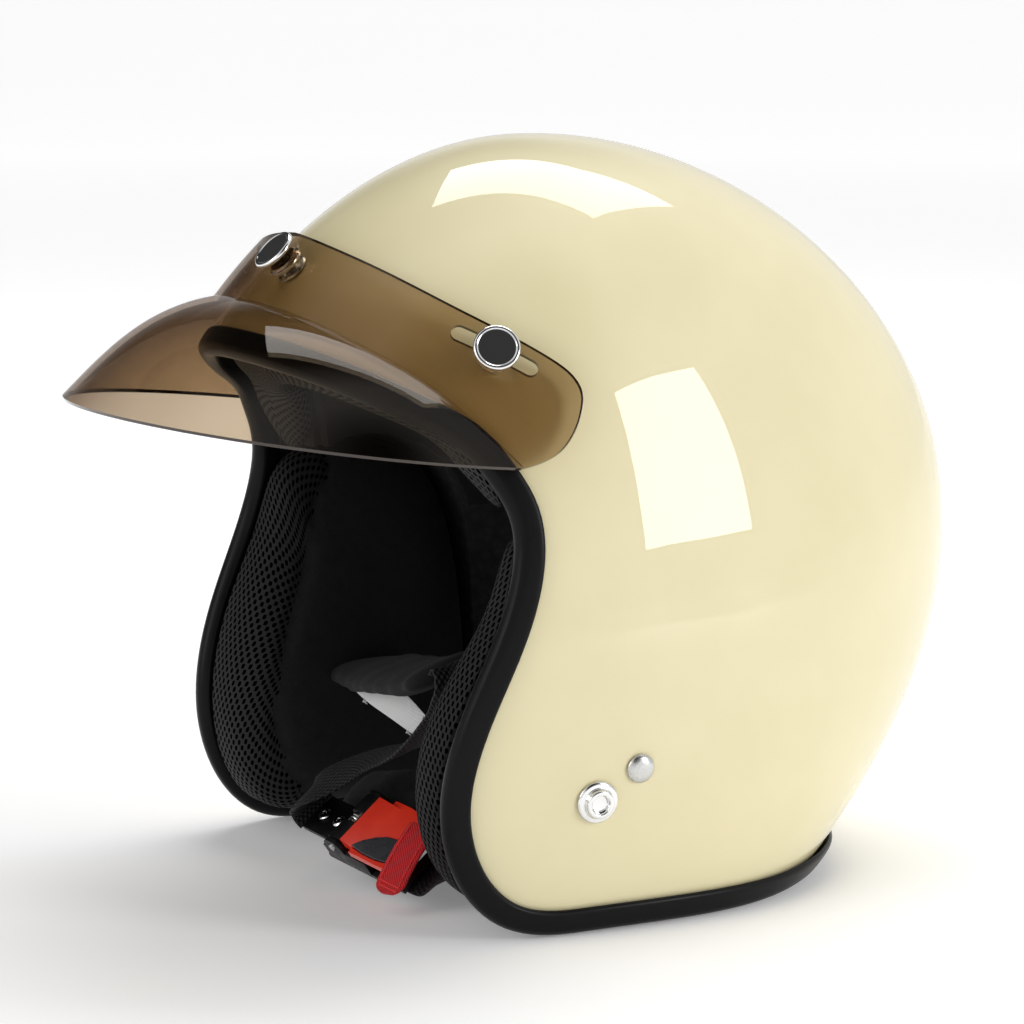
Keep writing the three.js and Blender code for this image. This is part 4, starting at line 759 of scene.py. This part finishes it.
def label_sheet():
    lo = spline([[-38, -52.6, 63.6], [-27, -53.0, 60.6], [-10, -52.0, 57.2], [7.5, -51.0, 53.7]], np.linspace(0, 1, 41))
    hi = spline([[-35, -51.8, 66.2], [-26, -51.5, 67.0], [-6, -50.5, 68.6], [14.2, -49.0, 61.4]], np.linspace(0, 1, 41))
    v = np.linspace(0, 1, 17)[None, :, None]
    G = lo[:, None] + (hi - lo)[:, None] * v
    G[..., 1] += 0.8 * np.sin(np.linspace(0, 1, 41) * 6.0)[:, None] * np.sin(np.linspace(0, 1, 17) * 3.0)[None]
    du, dv = np.gradient(G, axis=0), np.gradient(G, axis=1)
    N = unit(np.cross(du, dv))
    a, b = G + N * 0.15, G - N * 0.15
    k, n = G.shape[:2]
    area = float((np.linalg.norm(np.cross(du, dv), axis=-1)[:-1, :-1]).sum()) * 1e-6
    S = k * n
    f, uv = [], []
    for i in range(k - 1):
        for j in range(n - 1):
            q = (i * n + j, i * n + j + 1, (i + 1) * n + j + 1, (i + 1) * n + j)
            t = [(i * 0.00122, j * 0.0006), (i * 0.00122, (j + 1) * 0.0006), ((i + 1) * 0.00122, (j + 1) * 0.0006), ((i + 1) * 0.00122, j * 0.0006)]
            f += [q, tuple(S + x for x in q[::-1])]
            uv += [t, t[::-1]]
    B = [(i, 0) for i in range(k)] + [(k - 1, j) for j in range(1, n)] + [(i, n - 1) for i in range(k - 2, -1, -1)] + [(0, j) for j in range(n - 2, 0, -1)]
    for (i, j), (x, y) in zip(B, B[1:] + B[:1]):
        f.append((i * n + j, x * n + y, S + x * n + y, S + i * n + j))
        uv.append([(0, 0), (0.001, 0), (0.001, 0.001), (0, 0.001)])
    return make("blank_label", np.concatenate([a.reshape(-1, 3), b.reshape(-1, 3)]), f, uv, sharp=60), area, G
label, lab_area, LG = label_sheet()
on_strap(label, "label_satin", "label", "label")
def beads(name, pts, dirs, length, rad, mat, ride=None, strap=False):
    """short rounded threads along the given directions"""
    V_, F_ = [], []
    for p, d in zip(pts, dirs):
        d = unit(d)
        u = unit(np.cross(d, [0.3, 0.2, 0.93]))
        w = np.cross(d, u)
        base = len(V_)
        prof_ = [(-0.5, 0.25), (-0.42, 0.75), (-0.2, 1.0), (0.2, 1.0), (0.42, 0.75), (0.5, 0.25)]
        for h, q in prof_:
            for k in range(8):
                a = 2 * np.pi * k / 8
                V_.append(np.asarray(p) + d * h * length + (u * math.cos(a) + w * math.sin(a)) * rad * q)
        for i in range(5):
            for k in range(8):
                F_.append((base + i * 8 + k, base + i * 8 + (k + 1) % 8, base + (i + 1) * 8 + (k + 1) % 8, base + (i + 1) * 8 + k))
        F_ += [tuple(base + k for k in range(8)), tuple(base + 40 + k for k in range(8))]
    ob = make(name, np.array(V_), F_, sharp=80)
    dress(ob, mat)
    if strap:
        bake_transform(ob)
    else:
        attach(ob, ride)
    return ob
TP, TD = [], []
for c0 in (LG[13, 0], LG[-3, 0], LG[-1, -2]):
    for k in range(3):
        TP.append(c0 + np.array([0.5 * k - 0.5, -0.5, -0.3 * k]))
        TD.append(np.array([0.6 - 0.5 * k, -0.5, 0.5 * (k - 1)]))
beads("label_threads", TP, TD, 2.2, 0.22, "white_thread", strap=True)

refine("buckle_frame", "black_nylon", "black_plastic", 0.35)
refine("lever_pin", "bright_steel", "steel", 0.2)
refine("pawl", "bright_steel", "steel", 0.12)
refine("lever_spring", "bright_steel", "steel", 0)
refine("ratchet_strap", "black_nylon", "black_plastic", 0.18)
lev = refine("buckle_lever", "red_plastic", "red_plastic", 0.5, 3)
lev.data.materials.append(MATS["black_nylon"])
for pl in lev.data.polygons:
    q = np.array(pl.center) * 1000 - SHIFT - B0
    if q @ BL < 32.4:
        pl.material_index = 1
refine("lever_insert", "grey_insert", "grey_plastic", 0.4, 3)
for i, l in ((1, 5), (2, 14)):
    place(lathe(f"tongue_rivet_{i}_fine", [(0.9, 2.5), (2.6, 2.5), (2.7, 2.9), (1.8, 3.5), (0.9, 3.3), (0.9, 2.5)], bp(l, 10, 0), BN, seg=48, r=0.15), "chrome", "metal", f"tongue_rivet_{i}")
TAB = [bp(63.5, 19, 12.9), bp(65.5, 12, 13.6), bp(67.5, 4, 13.2), bp(69.5, -4, 12), bp(71, -10, 10.5)]
def tab_width(t):
    k = 1.0 if t < 0.86 else math.sqrt(max(1 - ((t - 0.86) / 0.14) ** 2 * 0.85, 0.1))
    return k, 1.0 + 0.08 * math.sin(t * 40)
R, c, T = strap_rings(TAB, [BL] * 5, 14, 1.7, 70, p=4, sec=32, puff=tab_width)
place(loft("pull_tab_ribbon", R, sharp=60), "tab_ribbon", "red_cloth", "pull_tab")
SP, SD = [], []
for i in range(5, 66, 3):
    for e in (-1, 1):
        SP.append(c[i] + BL * e * 5.3 * tab_width(i / 70)[0] + BN * 0.88)
        SD.append(T[i] + BL * 0.35 * e)
for j in range(-4, 5):
    for i in (62, 66):
        SP.append(c[i] + BL * j * 1.05 + BN * 0.86)
        SD.append(BL)
beads("tab_stitches", SP, SD, 1.7, 0.30, "stitch_thread", ride="lever")

# ------------------------------------------------------------------ floor, light, camera
me = bpy.data.meshes.new("floor")
me.from_pydata([(-40, -40, 0), (40, -40, 0), (40, 40, 0), (-40, 40, 0)], [], [(0, 1, 2, 3)])
floor = bpy.data.objects.new("floor", me)
COLL.objects.link(floor)
m = Mat("pale_floor", (0.93, 0.93, 0.93), 0.75, Specular_IOR_Level=0.2)
fx, fy, fz = m.sep(m.tc.outputs["Object"])
far = m.math("POWER", m.math("ADD", m.math("MULTIPLY", fx, fx), m.math("MULTIPLY", fy, fy)), 0.5)
m.set("Emission Strength", m.ramp(m.math("DIVIDE", far, 4.0), (0.06, 0.18), (0.9, 0.55)))
m.b.inputs["Emission Color"].default_value = (1, 1, 1, 1)
m.bump(m.noise(300, 2), 0.02, 0.0002)
floor.data.materials.append(MATS["pale_floor"])

def area(name, direction, dist, sx, sy, power, color=(1, 1, 1)):
    d = Vector(direction).normalized()
    L = bpy.data.lights.new(name, "AREA")
    L.shape, L.size, L.size_y, L.energy, L.color = "RECTANGLE", sx, sy, power, color
    ob = bpy.data.objects.new(name, L)
    ob.location = Vector((0, 0, 0.14)) + d * dist
    ob.rotation_euler = (-d).to_track_quat("-Z", "Y").to_euler()
    COLL.objects.link(ob)
    return ob
area("softbox_side", (0.834, 0.529, 0.315), 2.2, 0.58, 0.96, 15)
area("softbox_top", (-0.30, 0.30, 0.87), 2.0, 1.6, 0.80, 22)
area("front_fill", (0.05, -0.93, 0.40), 2.4, 0.9, 1.1, 9)
world = bpy.data.worlds.new("studio")
bpy.context.scene.world = world
world.use_nodes = True
wn, wl_ = world.node_tree.nodes, world.node_tree.links
bg = wn["Background"]
bg.inputs["Strength"].default_value = 0.74
wt = wn.new("ShaderNodeTexCoord")
dot = wn.new("ShaderNodeVectorMath")
dot.operation = "DOT_PRODUCT"
wl_.new(wt.outputs["Generated"], dot.inputs[0])
dot.inputs[1].default_value = tuple(Vector((0.67, -0.14, 0.73)).normalized())
rp = wn.new("ShaderNodeValToRGB")
rp.color_ramp.elements[0].position, rp.color_ramp.elements[0].color = 0.80, (1, 1, 1, 1)
rp.color_ramp.elements[1].position, rp.color_ramp.elements[1].color = 0.93, (0.05, 0.05, 0.05, 1)
dot2 = wn.new("ShaderNodeVectorMath")
dot2.operation = "DOT_PRODUCT"
wl_.new(wt.outputs["Generated"], dot2.inputs[0])
dot2.inputs[1].default_value = tuple(Vector((-0.857, -0.22, 0.464)).normalized())
mx2 = wn.new("ShaderNodeMath")
mx2.operation = "MAXIMUM"
wl_.new(dot.outputs["Value"], mx2.inputs[0])
wl_.new(dot2.outputs["Value"], mx2.inputs[1])
dot3 = wn.new("ShaderNodeVectorMath")
dot3.operation = "DOT_PRODUCT"
wl_.new(wt.outputs["Generated"], dot3.inputs[0])
dot3.inputs[1].default_value = tuple(Vector((-0.62, 0.10, 0.78)).normalized())
mx3 = wn.new("ShaderNodeMath")
mx3.operation = "MAXIMUM"
wl_.new(mx2.outputs[0], mx3.inputs[0])
wl_.new(dot3.outputs["Value"], mx3.inputs[1])
wl_.new(mx3.outputs[0], rp.inputs["Fac"])
wl_.new(rp.outputs["Color"], bg.inputs["Color"])

cam = bpy.data.cameras.new("camera")
cam.sensor_width, cam.lens, cam.clip_end, cam.clip_start = 36.0, 138.78, 200.0, 0.05
cam.shift_x, cam.shift_y = -0.01175, -0.00915
co = bpy.data.objects.new("camera", cam)
AZ, EL = math.radians(60.261), math.radians(9.239)
r = Vector((math.cos(AZ), math.sin(AZ), 0)); c = Vector((math.sin(AZ) * math.cos(EL), -math.cos(AZ) * math.cos(EL), math.sin(EL))); u = c.cross(r)
co.matrix_world = Matrix(((r.x, u.x, c.x, 1.2454), (r.y, u.y, c.y, -0.7115 + 0.00375), (r.z, u.z, c.z, 0.3670 + 0.0005), (0, 0, 0, 1)))
COLL.objects.link(co)
bpy.context.scene.camera = co
bpy.context.scene.view_settings.view_transform = "Standard"
